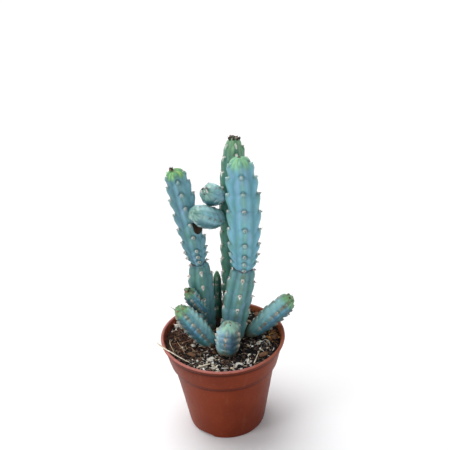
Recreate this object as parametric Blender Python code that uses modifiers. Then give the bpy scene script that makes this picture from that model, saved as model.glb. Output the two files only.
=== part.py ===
# Potted ribbed succulent: three columns with side shoots, planted in a plastic nursery pot
import math
import random

import bmesh
import bpy
from mathutils import Matrix, Vector

# Lengths are written in millimetres and become metres where a mesh is made
metre = 0.001
seatGap = 0.3

# Pot, measured across its lip and down its wall
potHeight = 86.0
lipRadius = 52.5
lipDepth = 3.8
bandTopRadius = 50.5
bandBottomRadius = 46.2
bandBottomHeight = 63.3
bodyTopRadius = 43.9
bodyBottomRadius = 34.4
cornerHeight = 5.5
footRadius = 33.0
wallThickness = 1.5
floorHeight = 4.0
potSegments = 64

# Drainage under the pot
cutoutCount = 3
cutoutWidth = 17.0
cutoutHeight = 2.3
cutoutDepth = 16.0
cutoutCorner = 1.6
firstCutoutAngle = -126.0
drainCount = 6
drainRadius = 3.2
drainCircleRadius = 17.0
drainSegments = 16

# Soil
soilLevel = 80.6
soilSegments = 48
soilRings = 8
soilSwell = 0.7
soilRipple = 0.35
rootDepth = 11.0
rootTaper = 0.22
flankMargin = 0.4

# Ribs and their toothed edge
ribCount = 5
grooveShare = 0.24
grooveShape = 2.2
pointsPerRib = 4
toothShare = 0.8

# A planted stem is round at the soil, and its ribs come in over ribFade above ribStart. It also
# turns from upright to its own lean over leanLength
ribStart = 5.0
ribFade = 8.0
leanLength = 9.0
shootFade = 6.0

# The small dent at a stem's growing tip
crownShare = 0.5
crownRise = 0.9
crownDent = 0.2

# Each growth is one season's length of a stem: where it starts and ends, how far its middle
# bows aside, and its radius over the rib tips at the start, at the widest place and at the end
stems = {
    "stem_main": {
        "growths": [
            {"start": (7.0, 5.0, 80.5), "end": (19.0, 2.0, 148.5), "bow": (-0.3, 0, 0),
             "radii": (10.8, 12.1, 8.8), "widestAt": 0.5, "swell": 1.6, "taper": 5.0},
            {"start": (19.0, 2.0, 148.5), "end": (19.0, -2.0, 247.0), "bow": (1.9, 0, 0),
             "radii": (8.8, 13.9, 4.8), "widestAt": 0.54, "swell": 3.0, "taper": 3.1},
        ],
        "areoleGap": 13.4, "stations": 4, "toothDepth": 1.9, "turn": 0.0,
    },
    "stem_back": {
        "growths": [
            {"start": (10.0, 29.5, 80.5), "end": (16.3, 29.0, 251.5), "bow": (0, 0, 0),
             "radii": (10.3, 12.9, 5.0), "widestAt": 0.6, "swell": 1.5, "taper": 4.0},
        ],
        "areoleGap": 13.0, "stations": 4, "toothDepth": 1.7, "turn": 14.0,
    },
    "stem_left": {
        "growths": [
            {"start": (-15.9, 21.0, 80.5), "end": (-17.4, 19.6, 144.5), "bow": (0, 0, 0),
             "radii": (10.0, 11.4, 6.6), "widestAt": 0.5, "swell": 1.6, "taper": 5.0},
            {"start": (-17.4, 19.6, 144.5), "end": (-32.0, 15.6, 230.5), "bow": (0.6, 0, 0),
             "radii": (6.6, 10.9, 7.6), "widestAt": 0.5, "swell": 3.2, "taper": 4.0},
        ],
        "areoleGap": 11.6, "stations": 4, "toothDepth": 1.5, "turn": 4.0,
    },
    "offset_front": {
        "growths": [
            {"start": (2.6, -16.2, 80.5), "end": (5.8, -21.8, 110.8), "bow": (0, 0, 0),
             "radii": (8.7, 10.8, 5.2), "widestAt": 0.5, "swell": 2.0, "taper": 2.8},
        ],
        "areoleGap": 7.0, "stations": 2, "toothDepth": 0.8, "turn": -6.0,
    },
    "offset_left_front": {
        "growths": [
            {"start": (-11.2, -4.0, 80.5), "end": (-33.4, -9.9, 118.4), "bow": (0, 0, 0),
             "radii": (6.6, 9.8, 5.4), "widestAt": 0.5, "swell": 2.2, "taper": 3.0},
        ],
        "areoleGap": 6.5, "stations": 2, "toothDepth": 0.7, "turn": 20.0,
    },
    "offset_left_back": {
        "growths": [
            {"start": (-15.0, 12.0, 103.0), "end": (-27.8, 3.8, 129.6), "bow": (-0.6, -1.2, 0),
             "radii": (3.2, 6.7, 4.0), "widestAt": 0.5, "swell": 3.0, "taper": 3.0},
        ],
        "areoleGap": 6.0, "stations": 2, "toothDepth": 0.5, "turn": 0.0, "parent": "stem_left",
    },
    "offset_right": {
        "growths": [
            {"start": (24.8, 6.6, 80.5), "end": (57.9, 6.4, 112.8), "bow": (0, 0, 1.0),
             "radii": (6.2, 9.5, 5.6), "widestAt": 0.6, "swell": 2.2, "taper": 3.4},
        ],
        "areoleGap": 6.5, "stations": 2, "toothDepth": 0.7, "turn": -14.0,
    },
    "offset_back": {
        "growths": [
            {"start": (-3.9, 34.8, 80.5), "end": (-2.8, 34.8, 126.4), "bow": (0, 0, 0),
             "radii": (4.0, 4.2, 2.6), "widestAt": 0.5, "swell": 2.0, "taper": 4.0},
        ],
        "areoleGap": 7.5, "stations": 2, "toothDepth": 0.4, "turn": 0.0,
    },
    "pup_upper": {
        "growths": [
            {"start": (5.0, 27.0, 201.5), "end": (-8.0, 9.0, 216.5), "bow": (0, 0, 0),
             "radii": (2.8, 9.3, 4.2), "widestAt": 0.62, "swell": 2.6, "taper": 2.4},
        ],
        "areoleGap": 6.0, "stations": 2, "toothDepth": 0.4, "turn": 10.0, "parent": "stem_back",
    },
    "pup_lower": {
        "growths": [
            {"start": (4.5, 26.4, 182.0), "end": (-18.3, -3.0, 204.4), "bow": (0, -1.2, 0.6),
             "radii": (2.6, 8.6, 4.2), "widestAt": 0.6, "swell": 2.8, "taper": 3.0},
        ],
        "areoleGap": 7.0, "stations": 2, "toothDepth": 0.4, "turn": 30.0, "parent": "stem_back",
    },
}

# Larger loose pieces lying on the soil: centre and size of each
perlite = {
    "perlite_1": {"place": (-39.6, 20.6), "size": (6.5, 5.0, 4.0)},
    "perlite_2": {"place": (-35.5, 26.0), "size": (5.6, 4.5, 3.8)},
    "perlite_3": {"place": (-25.3, -9.6), "size": (4.6, 4.0, 3.4)},
    "perlite_4": {"place": (-11.0, -29.4), "size": (8.0, 5.4, 3.6)},
    "perlite_5": {"place": (11.5, -38.4), "size": (8.0, 4.6, 3.2)},
    "perlite_6": {"place": (29.0, -11.0), "size": (4.6, 4.0, 3.0)},
}
bark = {
    "bark_1": {"place": (43.2, -3.0), "size": (7.0, 4.0, 1.8), "heading": 75.0},
    "bark_2": {"place": (32.0, -26.8), "size": (7.0, 4.4, 1.8), "heading": 25.0},
    "bark_3": {"place": (-27.0, -20.5), "size": (7.5, 4.0, 1.6), "heading": -35.0},
    "bark_4": {"place": (31.0, 32.0), "size": (6.0, 4.5, 1.8), "heading": 100.0},
}

# Dry stalks: the middle line, as x, y and the height over the soil, or the height over the
# lip where the stalk crosses it
straws = {
    "straw_rim": {"radius": 0.55, "overLip": 2, "line": [
        (-56.1, -9.6, 1.4), (-48.6, -18.6, 1.2), (-43.8, -22.2, 5.9),
        (-36.2, -26.8, 3.0), (-28.8, -30.8, 1.0)]},
    "straw_front": {"radius": 0.8, "overLip": 0, "line": [
        (-22.0, -38.4, 1.3), (-18.4, -37.2, 1.5), (-15.0, -36.2, 1.9), (-12.1, -35.3, 2.1)]},
    "straw_right": {"radius": 0.55, "overLip": 0, "line": [
        (23.6, -36.4, 0.9), (25.6, -31.0, 1.2), (27.4, -25.8, 1.2), (29.3, -20.6, 0.9)]},
}

colours = {
    "pot": ((0.235, 0.060, 0.034), 0.5),
    "soil": ((0.035, 0.025, 0.018), 0.95),
    "blueSkin": ((0.130, 0.330, 0.390), 0.6),
    "greenSkin": ((0.065, 0.220, 0.140), 0.6),
    "perlite": ((0.780, 0.760, 0.700), 0.85),
    "bark": ((0.300, 0.160, 0.080), 0.9),
    "straw": ((0.720, 0.650, 0.500), 0.7),
}


def clearScene():
    for thing in list(bpy.data.objects):
        bpy.data.objects.remove(thing)


def makeMaterial(name):
    colour, roughness = colours[name]
    material = bpy.data.materials.new(name)
    material.use_nodes = True
    shader = material.node_tree.nodes["Principled BSDF"]
    shader.inputs["Base Color"].default_value = (*colour, 1)
    shader.inputs["Roughness"].default_value = roughness
    shader.inputs["Metallic"].default_value = 0
    return material


def makeObject(name, mesh, material, collection):
    thing = bpy.data.objects.new(name, mesh)
    if material:
        mesh.materials.append(material)
    collection.objects.link(thing)
    return thing


def meshFrom(bm, name, smooth=True):
    bmesh.ops.recalc_face_normals(bm, faces=bm.faces)
    mesh = bpy.data.meshes.new(name)
    bm.to_mesh(mesh)
    bm.free()
    if smooth:
        mesh.shade_smooth()
        mesh.set_sharp_from_angle(angle=math.radians(40))
    return mesh


def lerp(a, b, share):
    return a + (b - a) * share


# The pot's inside follows its outside at the wall's thickness, with the same step under the band
def innerWall():
    return [
        (bodyBottomRadius - wallThickness, floorHeight),
        (bodyTopRadius - wallThickness, bandBottomHeight - 0.4),
        (bandBottomRadius - wallThickness, bandBottomHeight + 1.6),
        (bandTopRadius - wallThickness, potHeight - lipDepth),
        (lipRadius - 2.4, potHeight - 0.8),
    ]


def innerRadius(height):
    wall = innerWall()
    for (r0, z0), (r1, z1) in zip(wall, wall[1:]):
        if height <= z1:
            return lerp(r0, r1, max(0.0, (height - z0) / (z1 - z0)))
    return wall[-1][0]


def potProfile():
    lipFoot = potHeight - lipDepth
    profile = [(0, floorHeight)]
    profile += innerWall()
    profile += [
        (lipRadius - 1.8, potHeight),
        (lipRadius - 0.6, potHeight),
        (lipRadius, potHeight - 0.7),
        (lipRadius - 0.3, potHeight - 2.4),
        (lipRadius - 1.2, lipFoot + 0.2),
        (bandTopRadius - 0.1, lipFoot - 0.2),
        (bandTopRadius, lipFoot - 0.8),
        (bandBottomRadius, bandBottomHeight + 0.3),
        (bandBottomRadius - 0.5, bandBottomHeight - 0.4),
        (bodyTopRadius, bandBottomHeight - 0.6),
        (bodyBottomRadius, cornerHeight),
        (footRadius + 0.5, 1.2),
        (footRadius, 0),
        (0, 0),
    ]
    return profile


def makePot(collection, cutters, material):
    bm = bmesh.new()
    points = [bm.verts.new((r * metre, 0, z * metre)) for r, z in potProfile()]
    for a, b in zip(points, points[1:]):
        bm.edges.new((a, b))
    mesh = bpy.data.meshes.new("pot")
    bm.to_mesh(mesh)
    bm.free()
    pot = makeObject("pot", mesh, material, collection)
    turn = pot.modifiers.new("Turned wall", "SCREW")
    turn.axis = "Z"
    turn.steps = potSegments
    turn.render_steps = potSegments
    turn.use_merge_vertices = True
    turn.merge_threshold = 0.0001
    turn.use_smooth_shade = True
    for index in range(cutoutCount):
        angle = math.radians(firstCutoutAngle + index * 360 / cutoutCount)
        addCutter(pot, cutoutTool(index, angle), cutters)
    for index in range(drainCount):
        angle = math.radians(firstCutoutAngle + 30 + index * 360 / drainCount)
        addCutter(pot, drainTool(index, angle), cutters)
    return pot


def cutoutTool(index, angle):
    bm = bmesh.new()
    bmesh.ops.create_cube(bm, size=1)
    across = Vector((cutoutDepth * 2, cutoutWidth, cutoutHeight * 2)) * metre
    bmesh.ops.scale(bm, vec=across, verts=bm.verts)
    upper = [e for e in bm.edges if all(v.co.z > 0 for v in e.verts)]
    edges = [e for e in upper if e.verts[0].co.y * e.verts[1].co.y > 0]
    bmesh.ops.bevel(bm, geom=edges, offset=cutoutCorner * metre, segments=2, profile=0.5, affect="EDGES")
    reach = (footRadius + 4) * metre
    bmesh.ops.translate(bm, vec=(reach, 0, 0), verts=bm.verts)
    bmesh.ops.rotate(bm, cent=(0, 0, 0), matrix=Matrix.Rotation(angle, 3, "Z"), verts=bm.verts)
    return bpy.data.objects.new(f"cutout_tool_{index}", meshFrom(bm, "cutout", False))


def drainTool(index, angle):
    bm = bmesh.new()
    bmesh.ops.create_cone(
        bm, cap_ends=True, segments=drainSegments, radius1=drainRadius * metre, radius2=drainRadius * metre,
        depth=floorHeight * 3 * metre,
    )
    place = Vector((math.cos(angle), math.sin(angle), 0)) * drainCircleRadius * metre
    bmesh.ops.translate(bm, vec=place, verts=bm.verts)
    return bpy.data.objects.new(f"drain_tool_{index}", meshFrom(bm, "drain", False))


def addCutter(target, tool, cutters):
    cutters.objects.link(tool)
    tool.hide_render = True
    tool.display_type = "WIRE"
    cut = target.modifiers.new(tool.name, "BOOLEAN")
    cut.operation = "DIFFERENCE"
    cut.object = tool
    cut.solver = "EXACT"


# A stem's middle line runs through its growths, and goes straight down below the soil if planted
def growthPoint(growth, share):
    start = Vector(growth["start"])
    end = Vector(growth["end"])
    bow = Vector(growth["bow"])
    return start.lerp(end, share) + bow * math.sin(math.pi * share)


def growthRadius(growth, share):
    base, widest, top = growth["radii"]
    at = growth["widestAt"]
    if share < at:
        return widest - (widest - base) * (1 - share / at) ** growth["swell"]
    return widest - (widest - top) * ((share - at) / (1 - at)) ** growth["taper"]


# A tooth rises slowly from one areole to the next and drops away just above its tip
def toothRise(share):
    return min((share % 1) / toothShare, 1.0)


def ribPhase(rib):
    return (3 * rib % ribCount) / ribCount


# One ring of a ribbed stem. ribs is 0 for a round ring and 1 for full ribs
def ringPoints(centre, along, radius, turn, station, tooth, ribs):
    forward = Vector((0, -1, 0))
    forward = (forward - along * forward.dot(along)).normalized()
    side = along.cross(forward)
    step = 2 * math.pi / ribCount
    points = []
    for rib in range(ribCount):
        rise = toothRise(station - ribPhase(rib))
        for k in range(pointsPerRib):
            offCrest = k / pointsPerRib
            nearest = min(offCrest, 1 - offCrest) * 2
            angle = step * (rib + offCrest) + math.radians(turn)
            groove = grooveShare * nearest ** grooveShape * ribs
            notch = tooth * (1 - rise) * (1 - nearest) * ribs
            reach = radius * (1 - groove) - notch
            points.append(centre + (forward * math.cos(angle) + side * math.sin(angle)) * reach)
    return points


def isPlanted(stem):
    return "parent" not in stem


def stemRings(stem, margin=0.0):
    rings = []
    if isPlanted(stem):
        first = stem["growths"][0]
        foot = Vector(first["start"])
        base = first["radii"][0]
        for share in (1.0, 0.5):
            centre = foot - Vector((0, 0, rootDepth * share))
            radius = base * (1 - rootTaper * share) + margin
            rings.append(ringPoints(centre, Vector((0, 0, 1)), radius, stem["turn"], 0, 0, 0))
    walked = 0.0
    last = len(stem["growths"]) - 1
    for index, growth in enumerate(stem["growths"]):
        length = (Vector(growth["end"]) - Vector(growth["start"])).length
        count = max(8, round(length / stem["areoleGap"] * stem["stations"]))
        for k in range(1 if index else 0, count + 1):
            share = k / count
            centre = growthPoint(growth, share)
            ahead = growthPoint(growth, min(share + 0.02, 1)) - growthPoint(growth, max(share - 0.02, 0))
            along = ahead.normalized()
            if isPlanted(stem) and index == 0:
                upright = Vector((0, 0, 1))
                along = upright.lerp(along, min(share * length / leanLength, 1)).normalized()
            ribs = 1.0
            if isPlanted(stem):
                height = walked + share * length
                ribs = min(max((height - ribStart) / ribFade, 0), 1)
            elif share * length < shootFade:
                ribs = share * length / shootFade
            if index == last and share > 0.96:
                ribs *= 0.7
            station = (walked + share * length) / stem["areoleGap"]
            radius = growthRadius(growth, share) + margin
            rings.append(ringPoints(centre, along, radius, stem["turn"], station, stem["toothDepth"], ribs))
        walked += length
    return rings


def bridge(bm, lower, upper):
    count = len(lower)
    for k in range(count):
        bm.faces.new((lower[k], lower[(k + 1) % count], upper[(k + 1) % count], upper[k]))


def loft(bm, rings):
    rows = [[bm.verts.new(p * metre) for p in ring] for ring in rings]
    for lower, upper in zip(rows, rows[1:]):
        bridge(bm, lower, upper)
    bm.faces.new(list(reversed(rows[0])))
    return rows


def centreOf(points):
    return sum(points, Vector()) / len(points)


# A side shoot is cut back to its parent's flank by a copy of the parent, wider by margin
def stemMesh(name, stem, margin=0.0):
    rings = stemRings(stem, margin)
    tip = centreOf(rings[-1])
    ahead = (tip - centreOf(rings[-3])).normalized()
    crown = [tip + (p - tip) * crownShare + ahead * crownRise for p in rings[-1]]
    bm = bmesh.new()
    rows = loft(bm, rings + [crown])
    point = bm.verts.new((tip + ahead * (crownRise - crownDent)) * metre)
    top = rows[-1]
    for k, vert in enumerate(top):
        bm.faces.new((vert, top[(k + 1) % len(top)], point))
    bmesh.ops.triangulate(bm, faces=bm.faces[:], quad_method="FIXED", ngon_method="BEAUTY")
    return meshFrom(bm, name)


def makeStem(name, stem, material, collection, cutters):
    shoot = makeObject(name, stemMesh(name, stem), material, collection)
    if not isPlanted(stem):
        parent = stem["parent"]
        flank = bpy.data.objects.new(f"flank_tool_{name}", stemMesh(name, stems[parent], flankMargin))
        addCutter(shoot, flank, cutters)


# The hole that a planted stem stands in, wider than its round foot by the seating gap
def socketTool(name, stem):
    growth = stem["growths"][0]
    foot = Vector(growth["start"])
    base = growth["radii"][0]
    upright = Vector((0, 0, 1))
    rings = []
    for share in (1.0, 0.5):
        centre = foot - upright * (rootDepth * share + (seatGap if share == 1.0 else 0))
        radius = base * (1 - rootTaper * share) + seatGap
        rings.append(ringPoints(centre, upright, radius, stem["turn"], 0, 0, 0))
    length = (Vector(growth["end"]) - foot).length
    for walked in (0.0, ribStart / 2, ribStart, ribFade):
        share = walked / length
        centre = growthPoint(growth, share)
        ahead = (growthPoint(growth, share + 0.02) - centre).normalized()
        along = upright.lerp(ahead, min(walked / leanLength, 1)).normalized()
        radius = growthRadius(growth, share) + seatGap
        rings.append(ringPoints(centre, along, radius, stem["turn"], 0, 0, 0))
    bm = bmesh.new()
    rows = loft(bm, rings)
    bm.faces.new(rows[-1])
    return bpy.data.objects.new(f"socket_tool_{name}", meshFrom(bm, name, False))


def soilHeight(x, y):
    swell = soilSwell * math.sin(0.16 * x + 0.6) * math.cos(0.13 * y - 0.4)
    ripple = soilRipple * math.sin(0.42 * x - 0.31 * y + 1.1)
    atWall = 0.5 * (math.hypot(x, y) / lipRadius) ** 6
    return soilLevel + swell + ripple - atWall


def makeSoil(collection, cutters, material):
    bm = bmesh.new()
    angles = [2 * math.pi * k / soilSegments for k in range(soilSegments)]
    rows = []
    sideHeights = [floorHeight + seatGap, 20, 40, bandBottomHeight - 0.4, bandBottomHeight + 1.9, 74]
    for height in sideHeights:
        radius = innerRadius(height) - seatGap
        rows.append([Vector((radius * math.cos(a), radius * math.sin(a), height)) for a in angles])
    edge = innerRadius(soilLevel - 2) - seatGap
    for k in range(soilRings):
        radius = edge * (1 - k / soilRings)
        row = []
        for a in angles:
            x = radius * math.cos(a)
            y = radius * math.sin(a)
            row.append(Vector((x, y, soilHeight(x, y))))
        rows.append(row)
    made = loft(bm, rows)
    middle = bm.verts.new(Vector((0, 0, soilHeight(0, 0))) * metre)
    inner = made[-1]
    for k, vert in enumerate(inner):
        bm.faces.new((vert, inner[(k + 1) % soilSegments], middle))
    soil = makeObject("soil", meshFrom(bm, "soil"), material, collection)
    for name, stem in stems.items():
        if isPlanted(stem):
            addCutter(soil, socketTool(name, stem), cutters)
    return soil


# Lifts a loose piece until its lowest place clears the soil by the seating gap
def restOnSoil(bm, x, y):
    lift = -1e9
    for vert in bm.verts:
        px = x + vert.co.x
        py = y + vert.co.y
        lift = max(lift, soilHeight(px, py) - vert.co.z)
    place = Vector((x, y, lift + seatGap + 0.05))
    for vert in bm.verts:
        vert.co = (vert.co + place) * metre


def makePerlite(name, lump, material, collection, dice):
    bm = bmesh.new()
    bmesh.ops.create_icosphere(bm, subdivisions=2, radius=0.5)
    for vert in bm.verts:
        vert.co *= dice.uniform(0.86, 1.06)
        vert.co = Vector([c * s for c, s in zip(vert.co, lump["size"])])
    restOnSoil(bm, *lump["place"])
    return makeObject(name, meshFrom(bm, name), material, collection)


def makeBark(name, chip, material, collection, dice):
    bm = bmesh.new()
    bmesh.ops.create_cube(bm, size=1)
    bmesh.ops.scale(bm, vec=chip["size"], verts=bm.verts)
    for vert in bm.verts:
        vert.co.x *= dice.uniform(0.75, 1.0)
        vert.co.y *= dice.uniform(0.75, 1.0)
    bmesh.ops.bevel(bm, geom=bm.edges[:], offset=0.35, segments=1, affect="EDGES")
    turn = Matrix.Rotation(math.radians(chip["heading"]), 3, "Z")
    bmesh.ops.rotate(bm, cent=(0, 0, 0), matrix=turn, verts=bm.verts)
    restOnSoil(bm, *chip["place"])
    return makeObject(name, meshFrom(bm, name), material, collection)


def makeStraw(name, straw, material, collection):
    curve = bpy.data.curves.new(name, "CURVE")
    curve.dimensions = "3D"
    curve.bevel_depth = straw["radius"] * metre
    curve.bevel_resolution = 1
    curve.use_fill_caps = True
    spline = curve.splines.new("POLY")
    spline.points.add(len(straw["line"]) - 1)
    for k, point in enumerate(spline.points):
        x, y, height = straw["line"][k]
        ground = potHeight if k < straw["overLip"] else soilHeight(x, y)
        point.co = (x * metre, y * metre, (ground + height) * metre, 1)
    thing = bpy.data.objects.new(name, curve)
    curve.materials.append(material)
    collection.objects.link(thing)
    return thing


def build():
    clearScene()
    plant = bpy.data.collections.new("Potted succulent")
    cutters = bpy.data.collections.new("Cutters")
    bpy.context.scene.collection.children.link(plant)
    bpy.context.scene.collection.children.link(cutters)
    finish = {name: makeMaterial(name) for name in colours}
    makePot(plant, cutters, finish["pot"])
    makeSoil(plant, cutters, finish["soil"])
    for name, stem in stems.items():
        skin = finish["greenSkin"] if name in ("stem_back", "offset_back") else finish["blueSkin"]
        makeStem(name, stem, skin, plant, cutters)
    dice = random.Random(7)
    for name, lump in perlite.items():
        makePerlite(name, lump, finish["perlite"], plant, dice)
    for name, chip in bark.items():
        makeBark(name, chip, finish["bark"], plant, dice)
    for name, straw in straws.items():
        makeStraw(name, straw, finish["straw"], plant)


build()
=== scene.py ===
# Potted five-ribbed succulent: blue and green columns with side shoots, in a stepped nursery pot
import math
import random

import bmesh
import bpy
import numpy as np
from mathutils import Matrix, Vector, noise


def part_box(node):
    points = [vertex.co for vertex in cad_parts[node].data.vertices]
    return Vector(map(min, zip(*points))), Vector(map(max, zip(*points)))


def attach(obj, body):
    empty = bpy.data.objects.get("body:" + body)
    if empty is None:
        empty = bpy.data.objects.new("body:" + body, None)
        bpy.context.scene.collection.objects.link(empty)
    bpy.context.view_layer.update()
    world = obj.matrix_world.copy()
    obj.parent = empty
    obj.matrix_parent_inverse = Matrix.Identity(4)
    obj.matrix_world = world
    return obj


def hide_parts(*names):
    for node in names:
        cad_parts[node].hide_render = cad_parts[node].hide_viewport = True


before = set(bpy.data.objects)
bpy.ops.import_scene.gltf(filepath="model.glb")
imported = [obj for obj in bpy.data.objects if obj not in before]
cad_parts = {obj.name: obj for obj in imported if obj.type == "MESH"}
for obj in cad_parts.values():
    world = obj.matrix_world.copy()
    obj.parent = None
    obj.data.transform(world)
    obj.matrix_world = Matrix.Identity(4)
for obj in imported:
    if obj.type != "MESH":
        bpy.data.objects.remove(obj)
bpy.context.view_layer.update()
mm = 0.001


# Small helpers
def tint(red, green, blue):  # 0-255 as a colour picker shows them, to the shader's linear values
    def linear(level):
        level /= 255
        return level / 12.92 if level <= 0.04045 else ((level + 0.055) / 1.055) ** 2.4
    return (linear(red), linear(green), linear(blue), 1)


class Wire:  # one shader socket, with the maths written as Python
    def __init__(self, tree, socket=None):
        self.tree = tree
        self.socket = socket

    def make(self, kind, settings=None, sockets=None, out=0):
        node = self.tree.nodes.new(kind)
        for name, value in (settings or {}).items():
            if name == "stops":
                while len(node.color_ramp.elements) < len(value):
                    node.color_ramp.elements.new(1)
                for stop, (place, colour) in zip(node.color_ramp.elements, value):
                    stop.position = place
                    stop.color = colour
            else:
                setattr(node, name, value)
        for key, value in (sockets or {}).items():
            if isinstance(value, Wire):
                self.tree.links.new(value.socket, node.inputs[key])
            else:
                node.inputs[key].default_value = value
        return Wire(self.tree, node.outputs[out] if node.outputs else None)

    def maths(self, operation, first, second=0.0):
        return self.make("ShaderNodeMath", {"operation": operation}, {0: first, 1: second})

    def __add__(self, other):
        return self.maths("ADD", self, other)

    __radd__ = __add__

    def __sub__(self, other):
        return self.maths("SUBTRACT", self, other)

    def __rsub__(self, other):
        return self.maths("SUBTRACT", other, self)

    def __mul__(self, other):
        return self.maths("MULTIPLY", self, other)

    __rmul__ = __mul__

    def __truediv__(self, other):
        return self.maths("DIVIDE", self, other)

    def __pow__(self, other):
        return self.maths("POWER", self, other)

    def fade(self, low, high):  # 0 at low, 1 at high, smooth between
        settings = {"interpolation_type": "SMOOTHSTEP"}
        return self.make("ShaderNodeMapRange", settings, {0: self, 1: low, 2: high})

    def band(self, middle, width):  # 1 at middle, 0 a width away on both sides
        return 1 - self.maths("ABSOLUTE", self - middle).fade(0, width)

    def blend(self, first, second, mode="MIX"):  # colours, self is the share of the second
        settings = {"data_type": "RGBA", "blend_type": mode}
        return self.make("ShaderNodeMix", settings, {0: self, 6: first, 7: second}, 2)

    def attribute(self, name, out="Fac"):
        return self.make("ShaderNodeAttribute", {"attribute_name": name}, out=out)

    def place(self, name=None, scale=(1, 1, 1)):  # object coordinates, or a stored vector
        at = self.attribute(name, "Vector") if name else self.make("ShaderNodeTexCoord", out="Object")
        return self.make("ShaderNodeVectorMath", {"operation": "MULTIPLY"}, {0: at, 1: scale})

    def grain(self, at, scale, detail=3.0, rough=0.55):
        sockets = {"Vector": at, "Scale": scale, "Detail": detail, "Roughness": rough}
        return self.make("ShaderNodeTexNoise", None, sockets)

    def cells(self, at, scale, feature="F1"):
        return self.make("ShaderNodeTexVoronoi", {"feature": feature}, {"Vector": at, "Scale": scale})

    def bump(self, height, strength, distance):
        return self.make("ShaderNodeBump", None, {"Height": height, "Strength": strength, "Distance": distance})


def newFinish(name):
    material = bpy.data.materials.new(name)
    material.use_nodes = True
    return material, Wire(material.node_tree)


def setShader(material, sockets):
    tree = material.node_tree
    shader = tree.nodes["Principled BSDF"]
    for key, value in sockets.items():
        if isinstance(value, Wire):
            tree.links.new(value.socket, shader.inputs[key])
        else:
            shader.inputs[key].default_value = value
    return material


def makePiece(name, points, faces, material, node=None, attributes=None, smooth=True):
    mesh = bpy.data.meshes.new(name)
    mesh.from_pydata([tuple(p) for p in np.asarray(points) * mm], [], [tuple(int(i) for i in f) for f in faces])
    for label, values in (attributes or {}).items():
        values = np.asarray(values, dtype=np.float32)
        kind, width, key = {1: ("FLOAT", 1, "value"), 3: ("FLOAT_VECTOR", 3, "vector"),
                            4: ("FLOAT_COLOR", 4, "color")}[1 if values.ndim == 1 else values.shape[1]]
        layer = mesh.attributes.new(label, kind, "POINT")
        layer.data.foreach_set(key, values.reshape(-1))
    mesh.update()
    if smooth:
        mesh.shade_smooth()
    piece = bpy.data.objects.new(name, mesh)
    mesh.materials.append(material)
    bpy.context.scene.collection.objects.link(piece)
    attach(piece, "root")
    if node:
        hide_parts(node)
    return piece


def gridFaces(rings, around):  # quads between rings that each close on themselves
    ring = np.arange(rings - 1)[:, None] * around
    k = np.arange(around)[None, :]
    nextK = (k + 1) % around
    quads = np.stack([ring + k, ring + nextK, ring + around + nextK, ring + around + k], axis=-1)
    return quads.reshape(-1, 4)


def smoothstep(low, high, value):
    t = np.clip((value - low) / (high - low), 0, 1)
    return t * t * (3 - 2 * t)


# Camera, floor and light
view = {
    "place": (0.0, -0.49207, 0.43810),
    "right": (0.9984814, -0.03389659, -0.04342719),
    "up": (0.0540357, 0.4491265, 0.89183268),
    "ahead": (0.01072578, 0.89282496, -0.45027608),
    "lens": 56.0,
}
studio = {
    "floor": tint(251, 251, 251),
    "wall": 1.0, "ceiling": 0.22,  # white walls all round, a darker ceiling
    "sunFrom": (-0.32, 0.42, 1.5), "sunSpread": 50.0, "sunPower": 2.35,
    "fillPlace": (-1.4, -0.7, 0.9), "fillSize": 0.7, "fillPower": 8.0,
}


def makeCamera():
    camera = bpy.data.objects.new("Camera", bpy.data.cameras.new("Camera"))
    back = -Vector(view["ahead"])
    axes = Matrix((view["right"], view["up"], back)).transposed()
    camera.matrix_world = Matrix.Translation(view["place"]) @ axes.to_4x4()
    camera.data.lens = view["lens"]
    camera.data.sensor_width = 36
    camera.data.clip_start = 0.01
    bpy.context.scene.collection.objects.link(camera)
    bpy.context.scene.camera = camera


def makeLight(name, place, size, power, target=(0, 0, 0.12)):
    lamp = bpy.data.lights.new(name, "AREA")
    lamp.shape = "DISK"
    lamp.size = size
    lamp.energy = power
    light = bpy.data.objects.new(name, lamp)
    light.location = place
    light.rotation_euler = (Vector(target) - Vector(place)).to_track_quat("-Z", "Y").to_euler()
    bpy.context.scene.collection.objects.link(light)


def makeStudio():
    material, wire = newFinish("paleFloor")
    at = wire.place(scale=(1, 1, 1))
    cloud = wire.grain(at, 3.0)
    colour = cloud.blend(studio["floor"], tint(247, 247, 249))
    setShader(material, {"Base Color": colour, "Roughness": 0.7, "Specular IOR Level": 0.2})
    mesh = bpy.data.meshes.new("paleFloor")
    reach = 30.0
    mesh.from_pydata([(-reach, -reach, 0), (reach, -reach, 0), (reach, reach, 0), (-reach, reach, 0)], [], [(0, 1, 2, 3)])
    mesh.materials.append(material)
    floor = bpy.data.objects.new("paleFloor", mesh)
    bpy.context.scene.collection.objects.link(floor)
    world = bpy.data.worlds.new("Studio")
    world.use_nodes = True
    sky = world.node_tree.nodes["Background"]
    sky.inputs["Color"].default_value = tint(252, 253, 255)
    wire = Wire(world.node_tree)
    way = wire.make("ShaderNodeTexCoord")
    height = wire.make("ShaderNodeSeparateXYZ", None, {0: way}, 2)
    strength = studio["wall"] + height.fade(0.34, 0.62) * (studio["ceiling"] - studio["wall"])
    world.node_tree.links.new(strength.socket, sky.inputs["Strength"])
    bpy.context.scene.world = world
    sunLamp = bpy.data.lights.new("SoftSun", "SUN")
    sunLamp.energy = studio["sunPower"]
    sunLamp.angle = math.radians(studio["sunSpread"])
    sun = bpy.data.objects.new("SoftSun", sunLamp)
    sun.rotation_euler = Vector(studio["sunFrom"]).to_track_quat("Z", "Y").to_euler()
    bpy.context.scene.collection.objects.link(sun)
    makeLight("Fill", studio["fillPlace"], studio["fillSize"], studio["fillPower"])
    bpy.context.scene.view_settings.view_transform = "Standard"


makeCamera()
makeStudio()
print("camera, floor and lights are in place")


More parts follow.
